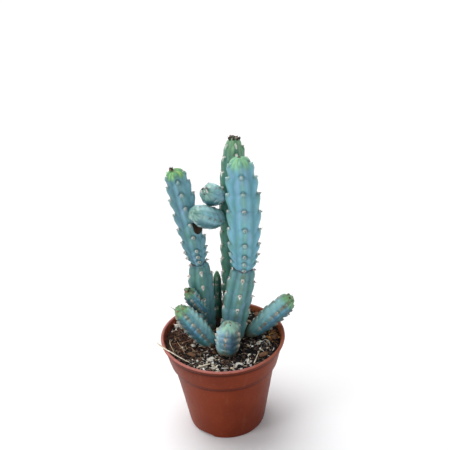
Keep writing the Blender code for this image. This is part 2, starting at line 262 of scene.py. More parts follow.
# Skin of the stems
# Each finish gives the colours of young and old growth. Across a rib the skin runs from the
# crest through a pale stripe, partly a painted highlight where the crest rounds into the flank,
# and the flank to the groove, where the darker colour is painted shade
# Each finish also holds painted light and shade: a pale colour for skin facing the light, a dark one for skin facing
# down, and a shade colour for the painted shadow ring round each areole
blueSkin = {
    "young": {"crest": tint(112, 168, 168), "stripe": tint(114, 174, 196), "flank": tint(98, 158, 172),
              "groove": tint(84, 142, 158), "rim": tint(172, 210, 206)},
    "old": {"crest": tint(104, 148, 138), "stripe": tint(100, 152, 156), "flank": tint(82, 134, 134),
            "groove": tint(60, 108, 110), "rim": tint(158, 190, 176)},
    "tip": tint(112, 176, 142), "tipEdge": tint(158, 204, 124),
    "mark": tint(246, 242, 234), "olive": tint(84, 96, 58), "crease": tint(40, 40, 36),
    "root": tint(122, 108, 74), "green": tint(84, 142, 112), "lilac": tint(130, 160, 196), "paintedShade": tint(62, 92, 100), "bloom": tint(146, 196, 210), "under": tint(60, 98, 108), "rough": 0.46,
    "value": 0.96, "patchy": 0.6, "contrast": 0.5, "scurf": 0.45, "rimWax": tint(196, 218, 216),
}
greenSkin = {
    "young": {"crest": tint(92, 148, 122), "stripe": tint(98, 152, 136), "flank": tint(76, 132, 112),
              "groove": tint(46, 96, 80), "rim": tint(140, 180, 150)},
    "old": {"crest": tint(58, 116, 96), "stripe": tint(62, 122, 108), "flank": tint(46, 100, 86),
            "groove": tint(28, 72, 60), "rim": tint(112, 150, 126)},
    "tip": tint(106, 156, 118), "tipEdge": tint(138, 176, 134),
    "mark": tint(240, 238, 230), "olive": tint(74, 86, 52), "crease": tint(40, 34, 28),
    "root": tint(104, 94, 66), "green": tint(70, 126, 88), "lilac": tint(98, 146, 150), "paintedShade": tint(40, 70, 58), "bloom": tint(112, 160, 140), "under": tint(36, 70, 58), "rough": 0.48,
    "value": 1.0, "patchy": 0.6, "contrast": 0.5, "scurf": 0.75, "rimWax": tint(176, 206, 180),
}
paleSkin = {
    "young": {"crest": tint(134, 188, 188), "stripe": tint(152, 204, 212), "flank": tint(132, 186, 194),
              "groove": tint(108, 164, 174), "rim": tint(184, 220, 218)},
    "old": {"crest": tint(126, 180, 182), "stripe": tint(144, 196, 206), "flank": tint(122, 176, 186),
            "groove": tint(98, 152, 164), "rim": tint(174, 210, 206)},
    "tip": tint(104, 154, 140), "tipEdge": tint(150, 194, 178),
    "mark": tint(206, 214, 204), "olive": tint(80, 102, 88), "crease": tint(50, 58, 52),
    "root": tint(110, 128, 108), "green": tint(84, 150, 128), "lilac": tint(176, 210, 228), "paintedShade": tint(70, 110, 116), "bloom": tint(196, 236, 236), "under": tint(46, 92, 100), "rough": 0.22,
    "value": 1.0, "patchy": 0.95, "contrast": 0.9, "scurf": 0.8, "rimWax": tint(220, 240, 240),
}
tealSkin = {
    "young": {"crest": tint(112, 164, 164), "stripe": tint(104, 168, 186), "flank": tint(86, 152, 172),
              "groove": tint(66, 124, 138), "rim": tint(190, 210, 200)},
    "old": {"crest": tint(92, 142, 146), "stripe": tint(84, 142, 164), "flank": tint(70, 128, 150),
            "groove": tint(50, 98, 110), "rim": tint(168, 186, 176)},
    "tip": tint(88, 150, 104), "tipEdge": tint(142, 182, 112),
    "mark": tint(214, 200, 180), "olive": tint(128, 104, 72), "crease": tint(56, 44, 34),
    "root": tint(112, 100, 72), "green": tint(92, 156, 130), "lilac": tint(108, 136, 176),
    "paintedShade": tint(70, 78, 70), "bloom": tint(160, 212, 212), "under": tint(40, 70, 76), "rough": 0.42,
    "value": 1.0, "patchy": 0.8, "contrast": 0.85, "scurf": 0.6, "rimWax": tint(200, 216, 210),
}


def skinFinish(name, look, gloss=0.42):
    material, wire = newFinish(name)
    cross = wire.attribute("crossRib")
    season = wire.attribute("season")
    straight = wire.place("skinPlace")
    streaks = wire.grain(wire.place("skinPlace", (0.55, 0.55, 0.06)), 1.0, 4.0)
    clouds = wire.grain(straight, 0.11, 3.0)
    fine = wire.grain(straight, 1.6, 4.0, 0.65)
    edge = (fine - 0.5) * 0.10 + (clouds - 0.5) * 0.16
    across = cross + edge

    def layer(ages):
        # across the rib: the pale stripe is partly a painted highlight, the darker groove colour painted shade
        colour = (1 - across.fade(0.06, 0.42)).blend(ages["flank"], ages["crest"])
        colour = (across.band(0.46, 0.30) * 0.8).blend(colour, ages["stripe"])
        return (across.fade(0.68, 1.0) * 0.8).blend(colour, ages["groove"])

    colour = season.blend(layer(look["old"]), layer(look["young"]))
    # green and lilac mottling; on the pale pup skin the light lilac patches are also painted highlights
    patches = wire.grain(wire.place("skinPlace", (1, 1, 0.45)), 0.13, 4.0, 0.6)
    colour = (patches.fade(0.50, 0.74) * look["patchy"]).blend(colour, look["green"])
    colour = (patches.fade(0.50, 0.28) * look["patchy"]).blend(colour, look["lilac"])
    value = (streaks - 0.5) * 0.22 + (clouds - 0.5) * 0.45 + (fine - 0.5) * 0.26 + look["value"]
    colour = wire.make("ShaderNodeVectorMath", {"operation": "SCALE"}, {0: colour, "Scale": value})
    # painted light and shade: skin turned upwards or to the stem's chosen lit side takes the pale painted-light colour,
    # skin turned downwards the darker painted-shade colour
    paintedLightFacing = wire.attribute("bloom")
    colour = ((paintedLightFacing + edge * 3).fade(0.1, 0.95) * look["contrast"]).blend(colour, look["bloom"])
    colour = ((edge * 2 - paintedLightFacing).fade(0.05, 0.85) * look["contrast"]).blend(colour, look["under"])
    colour = (wire.attribute("rim") * 0.7).blend(colour, season.blend(look["old"]["rim"], look["young"]["rim"]))
    colour = (wire.attribute("tipNear") + edge * 2.5).fade(0.1, 1.0).blend(colour, look["tip"])
    colour = (wire.attribute("tipEdge") * 0.8).blend(colour, look["tipEdge"])
    olive = wire.attribute("olive") * (clouds * 0.9 + 0.3)
    colour = (olive * 0.85).blend(colour, look["olive"])
    colour = (wire.attribute("vee") * (0.7 + fine * 0.5)).fade(0.15, 0.85).blend(colour, look["mark"])
    # painted shadow: the shade colour darkens a ring in the skin round each areole cushion
    colour = (wire.attribute("halo") * 0.5).blend(colour, look["paintedShade"])
    scurf = wire.cells(straight, 0.9).fade(0.20, 0.05) * wire.grain(straight, 0.25).fade(0.48, 0.70)
    colour = (scurf * look["scurf"]).blend(colour, look["rimWax"])
    rootShare = (wire.attribute("rootNear") + (clouds - 0.5) * 0.6).fade(0.25, 0.95)
    colour = (rootShare * 0.8).blend(colour, look["root"])
    # a shallow corky scar on the left stem's right flank under the lower pup, coloured dark brown-black as painted
    # shade from the pup
    scarAndShadeShare = wire.attribute("scar")
    scarAndShadeColour = wire.grain(straight, 0.8, 5.0).blend(tint(22, 17, 12), tint(74, 50, 30))
    colour = (scarAndShadeShare + edge * 2).fade(0.35, 0.55).blend(colour, scarAndShadeColour)
    # painted shade: a dark brownish line in the neck crease where one growth meets the next
    creaseShade = wire.attribute("crease") * (0.45 + wire.grain(straight, 0.5).fade(0.3, 0.6) * 0.5)
    colour = creaseShade.blend(colour, look["crease"])
    rough = look["rough"] + (fine - 0.5) * 0.2 + (streaks - 0.5) * 0.12 + scarAndShadeShare * 0.4
    height = fine * 0.35 + streaks * 0.5 + scurf * 0.3 + wire.grain(straight, 3.2, 2.0) * 0.2
    bump = wire.bump(height, 0.45, 0.0006)
    return setShader(material, {
        "Base Color": colour, "Roughness": rough, "Normal": bump, "Specular IOR Level": gloss,
    })


def feltFinish(name, wool, heart):
    material, wire = newFinish(name)
    at = wire.place()
    tuft = wire.grain(at, 1700.0, 3.0)
    centre = wire.attribute("heart")
    colour = (wire.grain(at, 420.0).fade(0.35, 0.75) * 0.8).blend(wool, tint(186, 152, 146))
    colour = (centre + (tuft - 0.5) * 0.35).fade(0.30, 0.75).blend(colour, heart)
    bump = wire.bump(tuft, 0.9, 0.0005)
    return setShader(material, {"Base Color": colour, "Roughness": 0.9, "Normal": bump, "Sheen Weight": 0.2})


def spineFinish(name, foot, point):
    material, wire = newFinish(name)
    at = wire.place()
    share = wire.attribute("alongSpine") + (wire.grain(at, 900.0) - 0.5) * 0.3
    colour = share.fade(0.1, 0.95).blend(foot, point)
    bump = wire.bump(wire.grain(at, 2500.0), 0.4, 0.0001)
    return setShader(material, {"Base Color": colour, "Roughness": 0.55, "Normal": bump})


ribs = {"count": 5, "groove": 0.205, "grooveShape": 1.5, "around": 24, "step": 0.42}
rootDepth = 10.0


def growthPoint(growth, share):
    share = np.asarray(share, float)[:, None]
    start, end, bow = (np.array(growth[k], float) for k in ("start", "end", "bow"))
    return start * (1 - share) + end * share + bow * np.sin(np.pi * share)


def growthRadius(growth, share):
    base, widest, top = growth["radii"]
    at = growth["widestAt"]
    below = widest - (widest - base) * np.clip(1 - share / at, 0, 1) ** growth["swell"]
    above = widest - (widest - top) * np.clip((share - at) / (1 - at), 0, 1) ** growth["taper"]
    return np.where(share < at, below, above)


def stemLine(stem, step):
    # centre, direction, radius, length walked, growth number and share, from the foot to the tip
    rows = []
    walked = 0.0
    if stem.get("planted", True):
        foot = np.array(stem["growths"][0]["start"], float)
        for depth in np.arange(rootDepth, 0, -2.0):
            lean = stem["growths"][0]["radii"][0] * (1 - 0.12 * depth / rootDepth)
            rows.append((*(foot - (0, 0, depth)), 0, 0, 1, lean, -depth, 0, 0))
    for number, growth in enumerate(stem["growths"]):
        start, end = np.array(growth["start"], float), np.array(growth["end"], float)
        length = np.linalg.norm(end - start)
        count = max(8, round(length / step))
        share = np.linspace(0, 1, count + 1)[1 if number else 0:]
        centre = growthPoint(growth, share)
        ahead = growthPoint(growth, np.minimum(share + 0.02, 1)) - growthPoint(growth, np.maximum(share - 0.02, 0))
        ahead /= np.linalg.norm(ahead, axis=1)[:, None]
        if number == 0 and stem.get("planted", True):
            lean = np.clip(share * length / 9, 0, 1)[:, None]
            ahead = np.array((0, 0, 1)) * (1 - lean) + ahead * lean
            ahead /= np.linalg.norm(ahead, axis=1)[:, None]
        radius = growthRadius(growth, share)
        for k in range(len(share)):
            rows.append((*centre[k], *ahead[k], radius[k], walked + share[k] * length, number, share[k]))
        walked += length
    rows = np.array(rows)
    reach, loss = stem["closing"]  # the last millimetres close in towards the growing tip
    rows[:, 6] *= 1 - loss * np.clip(1 - (walked - rows[:, 7]) / reach, 0, 1) ** 2.2
    return rows[:, 0:3], rows[:, 3:6], rows[:, 6], rows[:, 7], rows[:, 8], rows[:, 9]


def smoothed(values, width):
    kernel = np.hanning(2 * width + 3)
    kernel /= kernel.sum()
    padded = np.concatenate([np.full(width + 1, values[0]), values, np.full(width + 1, values[-1])])
    return np.convolve(padded, kernel, "valid")


def rowIndex(stem, along):
    rows = np.array(stem["rows"], float)
    first, last = rows[1] - rows[0], rows[-1] - rows[-2]
    low = rows[0] - first * np.arange(12, 0, -1)
    high = rows[-1] + last * np.arange(1, 12)
    every = np.concatenate([low, rows, high])
    return np.interp(along, every, np.arange(len(every)) - 12.0), every


def frameAt(ahead, turn):
    forward = np.array((0.0, -1.0, 0.0)) - ahead * -ahead[..., 1:2]
    forward /= np.linalg.norm(forward, axis=-1, keepdims=True)
    side = np.cross(ahead, forward)
    c, s = math.cos(math.radians(turn)), math.sin(math.radians(turn))
    return forward * c + side * s, side * c - forward * s


def stemShape(stem, centre, ahead, radius, along, number, angle):
    # radius of the skin at each ring and angle, with the masks that colour it
    count = ribs["count"]
    pitch = 2 * math.pi / count
    rib = np.round(angle / pitch).astype(int)
    signed = (angle - rib * pitch) / (pitch / 2)
    u = np.abs(signed)[None, :]
    rib = rib % count
    phase = np.array(stem["phases"])[rib][None, :]
    chevron = stem["chevron"] * u ** 1.5
    index, every = rowIndex(stem, along[:, None] + chevron)
    tooth = index - phase
    part = tooth - np.floor(tooth)
    chance = np.modf(np.abs(np.sin((np.floor(tooth) + 40) * 12.9898 + rib[None, :] * 78.233 + stem["turn"])) * 437.5)[0]
    other = np.modf(chance * 17.31)[0]
    ledge = 0.955 - 0.4 * u
    rise = np.sin(np.clip(part / 0.92, 0, 1) * math.pi / 2) ** 0.9
    rise = rise * (1 - np.clip((part - ledge) / (1 - ledge), 0, 1) ** 1.5)
    beak = np.exp(-((part - 0.93) / 0.05) ** 2)
    length = along[-1]
    fade = np.ones_like(along)
    if stem.get("planted", True):
        fade = smoothstep(0, 14, along)
    else:
        fade = smoothstep(0, 7, along)
    tip = smoothstep(length, length - 4.0, along)
    depth = np.interp(number, range(len(stem["tooth"])), stem["tooth"])
    depth = smoothed(depth, 6)
    groove = stem.get("groove", ribs["groove"]) * fade * (0.5 + 0.5 * tip)
    softGroove = ((u ** 2 + 0.01) ** 0.5 - 0.1) ** stem.get("flank", ribs["grooveShape"]) - 0.05 * smoothstep(0.8, 1.0, u)
    fan = np.array([noise.noise((math.cos(a) * 4, math.sin(a) * 4, stem["turn"])) for a in angle])[None, :]
    fan = fan * stem.get("flames", 1.0)
    skin = radius[:, None] * (1 - groove[:, None] * softGroove)
    spread = np.exp(-(u / 0.72) ** 2)
    size = (depth * fade * (0.45 + 0.55 * tip))[:, None] * (0.8 + 0.4 * chance)
    notch = size * ((1 - rise) * spread - 0.30 * beak * np.exp(-(u / 0.2) ** 2))
    swell = size * 0.16 * np.exp(-((part - 0.6) / 0.22) ** 2) * np.exp(-((u - 0.3) / 0.3) ** 2)
    hook = size * 0.55 * beak * np.exp(-(u / 0.22) ** 2)
    crease = np.zeros_like(along)
    for neck in stem.get("necks", ()):
        crease += np.exp(-((along - neck) / 1.1) ** 2)
    rough = np.array([[noise.noise((math.cos(a) * 2, math.sin(a) * 2, s * 0.07 + stem["turn"])) for a in angle[::6]]
                      for s in along[::8]])
    rows = np.linspace(0, rough.shape[0] - 1, len(along))
    cols = np.linspace(0, rough.shape[1], len(angle), endpoint=False)
    r0, c0 = np.floor(rows).astype(int), np.floor(cols).astype(int)
    r1, c1 = np.minimum(r0 + 1, rough.shape[0] - 1), (c0 + 1) % rough.shape[1]
    fr, fc = (rows - r0)[:, None], (cols - c0)[None, :]
    uneven = (rough[r0][:, c0] * (1 - fr) * (1 - fc) + rough[r1][:, c0] * fr * (1 - fc)
              + rough[r0][:, c1] * (1 - fr) * fc + rough[r1][:, c1] * fr * fc)
    skin = skin - notch + swell - crease[:, None] * 0.9 + uneven * stem.get("uneven", 0.55) * fade[:, None]
    # how far below its own areole each point lies, and how far aside, in millimetres
    nextRow = np.interp(np.floor(tooth) + 1 + phase, np.arange(len(every)) - 12.0, every)
    lastRow = np.interp(np.floor(tooth) + phase, np.arange(len(every)) - 12.0, every)
    below = nextRow - (along[:, None] + chevron)
    above = (along[:, None] + chevron) - lastRow
    aside = np.abs(signed)[None, :] * radius[:, None] * math.sin(pitch / 2)
    mark = smoothed(np.interp(number, range(len(stem["mark"])), stem["mark"]), 4)[:, None]
    season = np.interp(number, range(len(stem["season"])), stem["season"])
    vee = mark * smoothstep(1.0, 0.4, aside / (1.9 - 0.38 * below).clip(0.25)) * smoothstep(4.4, 3.2, below)
    vee = np.maximum(vee, mark * 0.8 * smoothstep(1.5, 0.7, above) * smoothstep(2.0, 1.1, aside))
    reach = stem.get("patch", (6.4, 2.4, 1.9))
    olive = np.exp(-((below - reach[0]) / reach[1]) ** 2 - (aside / reach[2]) ** 2)
    far = np.sqrt(aside ** 2 + (below - 0.3) ** 2)
    far = np.minimum(far, np.sqrt(aside ** 2 + (above + 0.3) ** 2))
    # a ring of painted shadow around each areole cushion
    halo = np.exp(-((far - stem["cushion"] * 1.45) / 0.75) ** 2)
    rim = np.exp(-((below - 0.5) / 1.3) ** 2) * smoothstep(0.45, 0.1, u) + 0.2 * smoothstep(0.12, 0.0, u)
    masks = {
        "crossRib": np.broadcast_to(u, skin.shape),
        "season": np.broadcast_to(smoothed(season, 2)[:, None], skin.shape),
        "rim": rim * fade[:, None] * (0.5 + 0.8 * chance),
        "halo": halo * (0.35 + 0.65 * season)[:, None] * fade[:, None] * (0.4 + 0.9 * other),
        "vee": vee * fade[:, None] * (0.25 + 0.75 * tip[:, None]) * (0.5 + 0.6 * chance),
        "olive": np.clip(olive * stem["olive"] * (1.15 - season)[:, None] * (0.2 + 1.2 * other), 0, 1),
        "tipNear": 0.9 * smoothstep(length - stem["green"] * (0.8 + 0.5 * u + 0.9 * fan), length + 1.0, along[:, None]),
        "tipEdge": smoothstep(length - stem["green"] * 0.75, length, along[:, None])
        * np.maximum(smoothstep(0.0, 0.35, fan), 0.75 * smoothstep(0.4, 0.62, u) * smoothstep(0.95, 0.75, u)) * 0.9,
        "rootNear": np.broadcast_to(smoothstep(9, 0, along)[:, None] * float(stem.get("planted", True)), skin.shape),
        "crease": np.broadcast_to(np.clip(crease * 1.1, 0, 1)[:, None] ** 1.5, skin.shape),
        "scar": np.zeros(skin.shape),
    }
    return skin, hook, masks


def makeStem(name, node, stem, material):
    centre, ahead, radius, along, number, share = stemLine(stem, ribs["step"])
    for k in range(3):  # rounds the kink where one growth meets the next
        ahead[:, k] = smoothed(ahead[:, k], 5)
    ahead /= np.linalg.norm(ahead, axis=1)[:, None]
    across = stem.get("around", ribs["around"]) * ribs["count"]
    angle = np.arange(across) * 2 * math.pi / across
    skin, hook, masks = stemShape(stem, centre, ahead, radius, along, number, angle)
    forward, side = frameAt(ahead, stem["turn"])
    out = forward[:, None, :] * np.cos(angle)[None, :, None] + side[:, None, :] * np.sin(angle)[None, :, None]
    points = centre[:, None, :] + out * skin[:, :, None] + ahead[:, None, :] * hook[:, :, None]
    place = np.stack([skin * np.cos(angle), skin * np.sin(angle), np.broadcast_to(along[:, None], skin.shape)], -1)
    # a shallow dented scar under the lower pup, darkened in the skin as painted shade from the pup
    if "scar" in stem:
        scar = stem["scar"]
        far = np.linalg.norm((points - np.array(scar["place"])) / np.array(scar["size"]), axis=2)
        masks["scar"] = smoothstep(1.15, 0.75, far)
        points -= out * (masks["scar"] * scar["depth"])[:, :, None]
    # the growing tip: the last ring closes over in a small dimpled dome
    rings = [points]
    places = [place]
    extra = {key: [np.array(value)] for key, value in masks.items()}
    last, lastSkin = points[-1], skin[-1]
    for drop, lift in stem["dome"]:
        ring = centre[-1] + (last - centre[-1]) * drop + ahead[-1] * lift
        rings.append(ring[None])
        places.append(np.stack([lastSkin * np.cos(angle) * drop, lastSkin * np.sin(angle) * drop,
                                np.full(across, along[-1] + lift)], -1)[None])
        for key in extra:
            value = extra[key][0][-1:] * {"crossRib": 1, "season": 1, "tipEdge": 0.25 + 0.75 * drop}.get(key, drop)
            if key == "tipNear":
                value = np.clip(value / drop + 0.35 * (1 - drop), 0, 1)
            if key == "rootNear":
                value = value * 0 + 0.8 * float(smoothstep(0.5, 0.15, drop))
            extra[key].append(value)
    points = np.concatenate([r.reshape(-1, 3) for r in rings])
    places = np.concatenate([p.reshape(-1, 3) for p in places])
    total = len(points) // across
    faces = [tuple(f) for f in gridFaces(total, across)]
    faces.append(tuple(range((total - 1) * across, total * across)))
    faces.append(tuple(range(across - 1, -1, -1)))
    attributes = {key: np.concatenate([v.reshape(-1) for v in value]) for key, value in extra.items()}
    # painted light: how far each point faces up or towards the stem's chosen lit side; it lightens the skin there and
    # darkens the side turned away
    skyward = out[:, :, 2] / max(0.5, out[:, :, 2].max()) + out @ np.array(stem.get("paintedLightSide", (0, 0, 0)))
    capped = [skyward[-1:] * drop + ahead[-1, 2] * (1 - drop) for drop, lift in stem["dome"]]
    attributes["bloom"] = np.clip(np.concatenate([skyward] + capped), -1, 1).reshape(-1)
    attributes["skinPlace"] = places
    makePiece(name + "Skin", points, faces, material, node, attributes)
    return {"centre": centre, "ahead": ahead, "radius": radius, "along": along, "number": number}


def areolePlaces(stem, line):
    # where each woolly cushion sits: its point on the crest, its outward and upward directions
    found = []
    length = line["along"][-1]
    _, every = rowIndex(stem, np.array([0.0]))
    for rib in range(ribs["count"]):
        for index in range(-12, 30):
            at = float(np.interp(index + stem["phases"][rib], np.arange(len(every)) - 12.0, every))
            lucky = abs(math.sin(rib * 12.9 + index * 78.2 + stem["turn"])) * 43.7 % 1
            at += (lucky * 7.3 % 1 - 0.5) * stem.get("stray", 0)
            if at < stem["firstAreole"] or at > length - 0.5 or lucky < stem.get("bare", 0):
                continue
            k = min(int(np.searchsorted(line["along"], at)), len(line["along"]) - 1)
            ahead = line["ahead"][k]
            forward, side = frameAt(ahead[None, :], stem["turn"])
            angle = rib * 2 * math.pi / ribs["count"] + (lucky * 3.1 % 1 - 0.5) * 0.06 * stem.get("stray", 0)
            out = forward[0] * math.cos(angle) + side[0] * math.sin(angle)
            young = stem["season"][int(line["number"][k])]
            fade = float(smoothstep(length, length - 0.2 * length, at))
            depth = stem["tooth"][min(int(line["number"][k]), len(stem["tooth"]) - 1)]
            point = line["centre"][k] + out * (line["radius"][k] - 0.12 * depth - 0.15) - ahead * 0.5
            found.append((point, out, ahead, young, 0.6 + 0.4 * fade))
    return found


def lump(dice, squash, jitter, subdivisions=2):
    bm = bmesh.new()
    bmesh.ops.create_icosphere(bm, subdivisions=subdivisions, radius=1.0)
    shift = Vector((dice.uniform(0, 50), dice.uniform(0, 50), dice.uniform(0, 50)))
    points = np.array([v.co * (1 + jitter * noise.noise(v.co * 1.3 + shift)) for v in bm.verts]) * squash
    faces = [tuple(v.index for v in f.verts) for f in bm.faces]
    bm.free()
    return points, faces


def makeAreoles(name, stem, line, felt, dice):
    points, faces, heart = [], [], []
    total = 0
    size = stem["cushion"]
    for point, out, ahead, young, grown in areolePlaces(stem, line):
        side = np.cross(ahead, out)
        wide = size * grown * dice.uniform(0.88, 1.1)
        tall = wide * dice.uniform(0.75, 0.95)
        shape, sides = lump(dice, 1.0, 0.35)
        across, up, proud = shape[:, 0], shape[:, 1], shape[:, 2]
        narrow = np.where(up < 0, 1 + 0.35 * up, 1.0)  # the cushion narrows to its lower end
        radial = np.sqrt(across ** 2 + up ** 2)
        dent = 0.45 * np.exp(-((across / 0.35) ** 2 + ((up - 0.15) / 0.35) ** 2)) * (proud > 0)
        tilt = (ahead * 0.35 + out)
        tilt = tilt / np.linalg.norm(tilt)
        upward = np.cross(tilt, side)
        upward = -upward if np.dot(upward, ahead) < 0 else upward
        where = (point + side * (across * narrow * wide)[:, None] + upward * (up * tall)[:, None]
                 + tilt * ((proud - dent) * size * 0.42)[:, None])
        points.append(where)
        middle = np.sqrt(across ** 2 + (up + 0.12) ** 2)
        # painted shade: areoles on ribs facing right get darker hearts, as on the side away from the light
        rightSideShade = 0.35 * float(smoothstep(0.3, 0.9, out[0]))
        heart.append((np.clip(1.25 - middle * 1.35, 0, 1) + rightSideShade) * (proud > -0.2))
        faces += [tuple(i + total for i in f) for f in sides]
        total += len(where)
    makePiece(name + "Areoles", np.concatenate(points), faces, felt, None, {"heart": np.concatenate(heart)})


def addTube(store, line, radii, sides=5, value=None):
    # a thin round stalk along points, closed at both ends
    line = np.asarray(line, float)
    ahead = np.gradient(line, axis=0)
    ahead /= np.linalg.norm(ahead, axis=1)[:, None] + 1e-9
    helper = np.array((0.31, 0.22, 0.93)) if abs(ahead[0][2]) < 0.8 else np.array((0.93, 0.22, 0.31))
    one = np.cross(ahead, helper)
    one /= np.linalg.norm(one, axis=1)[:, None]
    two = np.cross(ahead, one)
    angle = np.arange(sides) * 2 * math.pi / sides
    ring = one[:, None, :] * np.cos(angle)[None, :, None] + two[:, None, :] * np.sin(angle)[None, :, None]
    points = line[:, None, :] + ring * np.asarray(radii, float)[:, None, None]
    start = store["total"]
    store["points"].append(points.reshape(-1, 3))
    store["faces"] += [tuple(int(i) + start for i in reversed(f)) for f in gridFaces(len(line), sides)]
    store["faces"].append(tuple(start + i for i in range(sides)))
    store["faces"].append(tuple(start + (len(line) - 1) * sides + i for i in reversed(range(sides))))
    share = np.repeat(np.linspace(0, 1, len(line)), sides)
    store["share"].append(share)
    if value is not None:
        store["colour"].append(np.tile(np.array(value, float), (len(line) * sides, 1)))
    store["total"] += len(line) * sides


def newStore():
    return {"points": [], "faces": [], "share": [], "colour": [], "total": 0}


def makeSpines(name, stem, line, finish, dice):
    store = newStore()
    for point, out, ahead, young, grown in areolePlaces(stem, line):
        side = np.cross(ahead, out)
        for _ in range(dice.randint(*stem["spines"])):
            turn = dice.uniform(0, 2 * math.pi)
            splay = dice.uniform(0.2, 1.0)
            way = out + (side * math.cos(turn) + ahead * (math.sin(turn) + 0.2)) * splay
            way /= np.linalg.norm(way)
            length = stem["spineLength"] * grown * dice.uniform(0.5, 1.15)
            share = np.linspace(0, 1, 5)[:, None]
            bend = ahead * dice.uniform(-0.2, 0.3)
            path = point + out * 0.2 + way * share * length + bend * share ** 2 * length * 0.4
            thick = 0.17 * (1 - 0.8 * share[:, 0])
            addTube(store, path, thick, 4)
    if store["total"]:
        makePiece(name + "Spines", np.concatenate(store["points"]), store["faces"], finish, None,
                  {"alongSpine": np.concatenate(store["share"])})


def makeCrown(name, stem, line, finish, felt, dice):
    # the tuft of young wool and spines over the growing tip
    crown = stem["crown"]
    top = line["centre"][-1] + line["ahead"][-1] * crown["lift"] + np.array(crown.get("shift", (0, 0, 0)))
    ahead = line["ahead"][-1]
    forward, side = frameAt(ahead[None, :], stem["turn"])
    forward, side = forward[0], side[0]
    points, faces, heart = [], [], []
    total = 0
    for k in range(crown["nubs"]):
        angle = k * 2.399 + dice.uniform(-0.3, 0.3)
        reach = crown["spread"] * math.sqrt((k + 0.4) / crown["nubs"])
        shape, sides = lump(dice, 1.0, 0.5)
        size = crown["nub"] * dice.uniform(0.7, 1.2)
        middle = top + (forward * math.cos(angle) + side * math.sin(angle)) * reach - ahead * reach * 0.18
        points.append(middle + shape * size * np.array((1, 1, 1.1)))
        heart.append(np.full(len(shape), dice.uniform(0.2, 1.1)))
        faces += [tuple(i + total for i in f) for f in sides]
        total += len(shape)
    makePiece(name + "Crown", np.concatenate(points), faces, felt, None, {"heart": np.concatenate(heart)})
    store = newStore()
    for _ in range(crown["spines"]):
        angle = dice.uniform(0, 2 * math.pi)
        reach = crown["spread"] * dice.uniform(0.1, 1.0)
        start = top + (forward * math.cos(angle) + side * math.sin(angle)) * reach
        lean = (forward * math.cos(angle) + side * math.sin(angle)) * dice.uniform(-0.2, 0.5)
        way = ahead + lean
        length = crown["length"] * dice.uniform(0.5, 1.1)
        share = np.linspace(0, 1, 5)[:, None]
        addTube(store, start + way * share * length, 0.16 * (1 - 0.8 * share[:, 0]), 4)
    if "thorn" in crown:  # one long spine that stands out to the side
        start, way = np.array(crown["thorn"])
        share = np.linspace(0, 1, 6)[:, None]
        addTube(store, top + start + way * share, 0.32 * (1 - 0.75 * share[:, 0]), 6)
    makePiece(name + "CrownSpines", np.concatenate(store["points"]), store["faces"], finish, None,
              {"alongSpine": np.concatenate(store["share"])})


broadDome = [(0.93, 0.35), (0.83, 0.65), (0.7, 0.9), (0.54, 1.05), (0.38, 1.05), (0.22, 0.9), (0.07, 0.7)]
roundDome = [(0.96, 0.5), (0.88, 1.0), (0.76, 1.6), (0.58, 2.1), (0.38, 2.35), (0.2, 2.3), (0.07, 2.2)]
flatDome = [(0.94, 0.3), (0.84, 0.55), (0.72, 0.7), (0.58, 0.7), (0.42, 0.55), (0.26, 0.4), (0.1, 0.3)]

dullSkin = dict(blueSkin, value=0.94, tip=tint(84, 154, 96), tipEdge=tint(168, 206, 108), young={"crest": tint(104, 150, 152), "stripe": tint(108, 162, 178),
                                 "flank": tint(90, 144, 156), "groove": tint(72, 124, 138), "rim": tint(160, 198, 192)},
                old={"crest": tint(92, 142, 126), "stripe": tint(92, 144, 138), "flank": tint(80, 134, 122),
                     "groove": tint(58, 108, 100), "rim": tint(148, 184, 166)})
frontSkin = dict(tealSkin, tip=tint(146, 200, 184), tipEdge=tint(164, 206, 170), olive=tint(92, 88, 72), value=1.02,
                 bloom=tint(176, 214, 220), young={"crest": tint(108, 140, 132), "stripe": tint(116, 160, 172),
                 "flank": tint(92, 138, 156), "groove": tint(78, 122, 146), "rim": tint(200, 212, 204)})
skins = {
    "front": skinFinish("frontWaxSkin", frontSkin),
    "blue": skinFinish("blueWaxSkin", blueSkin),
    "dull": skinFinish("dullBlueSkin", dullSkin),
    "green": skinFinish("greenWaxSkin", greenSkin),
    "pale": skinFinish("paleWaxSkin", paleSkin, 0.85),
    "teal": skinFinish("tealWaxSkin", tealSkin),
}
felts = {
    "pale": feltFinish("creamWool", tint(242, 234, 224), tint(52, 40, 42)),
    "white": feltFinish("whiteWool", tint(244, 240, 228), tint(150, 140, 120)),
    "brown": feltFinish("brownWool", tint(150, 120, 92), tint(44, 34, 26)),
    "ash": feltFinish("ashWool", tint(226, 234, 228), tint(28, 34, 30)),
}
spineLooks = {
    "pink": spineFinish("pinkSpine", tint(150, 112, 104), tint(206, 176, 168)),
    "dark": spineFinish("darkSpine", tint(92, 66, 48), tint(48, 34, 26)),
}

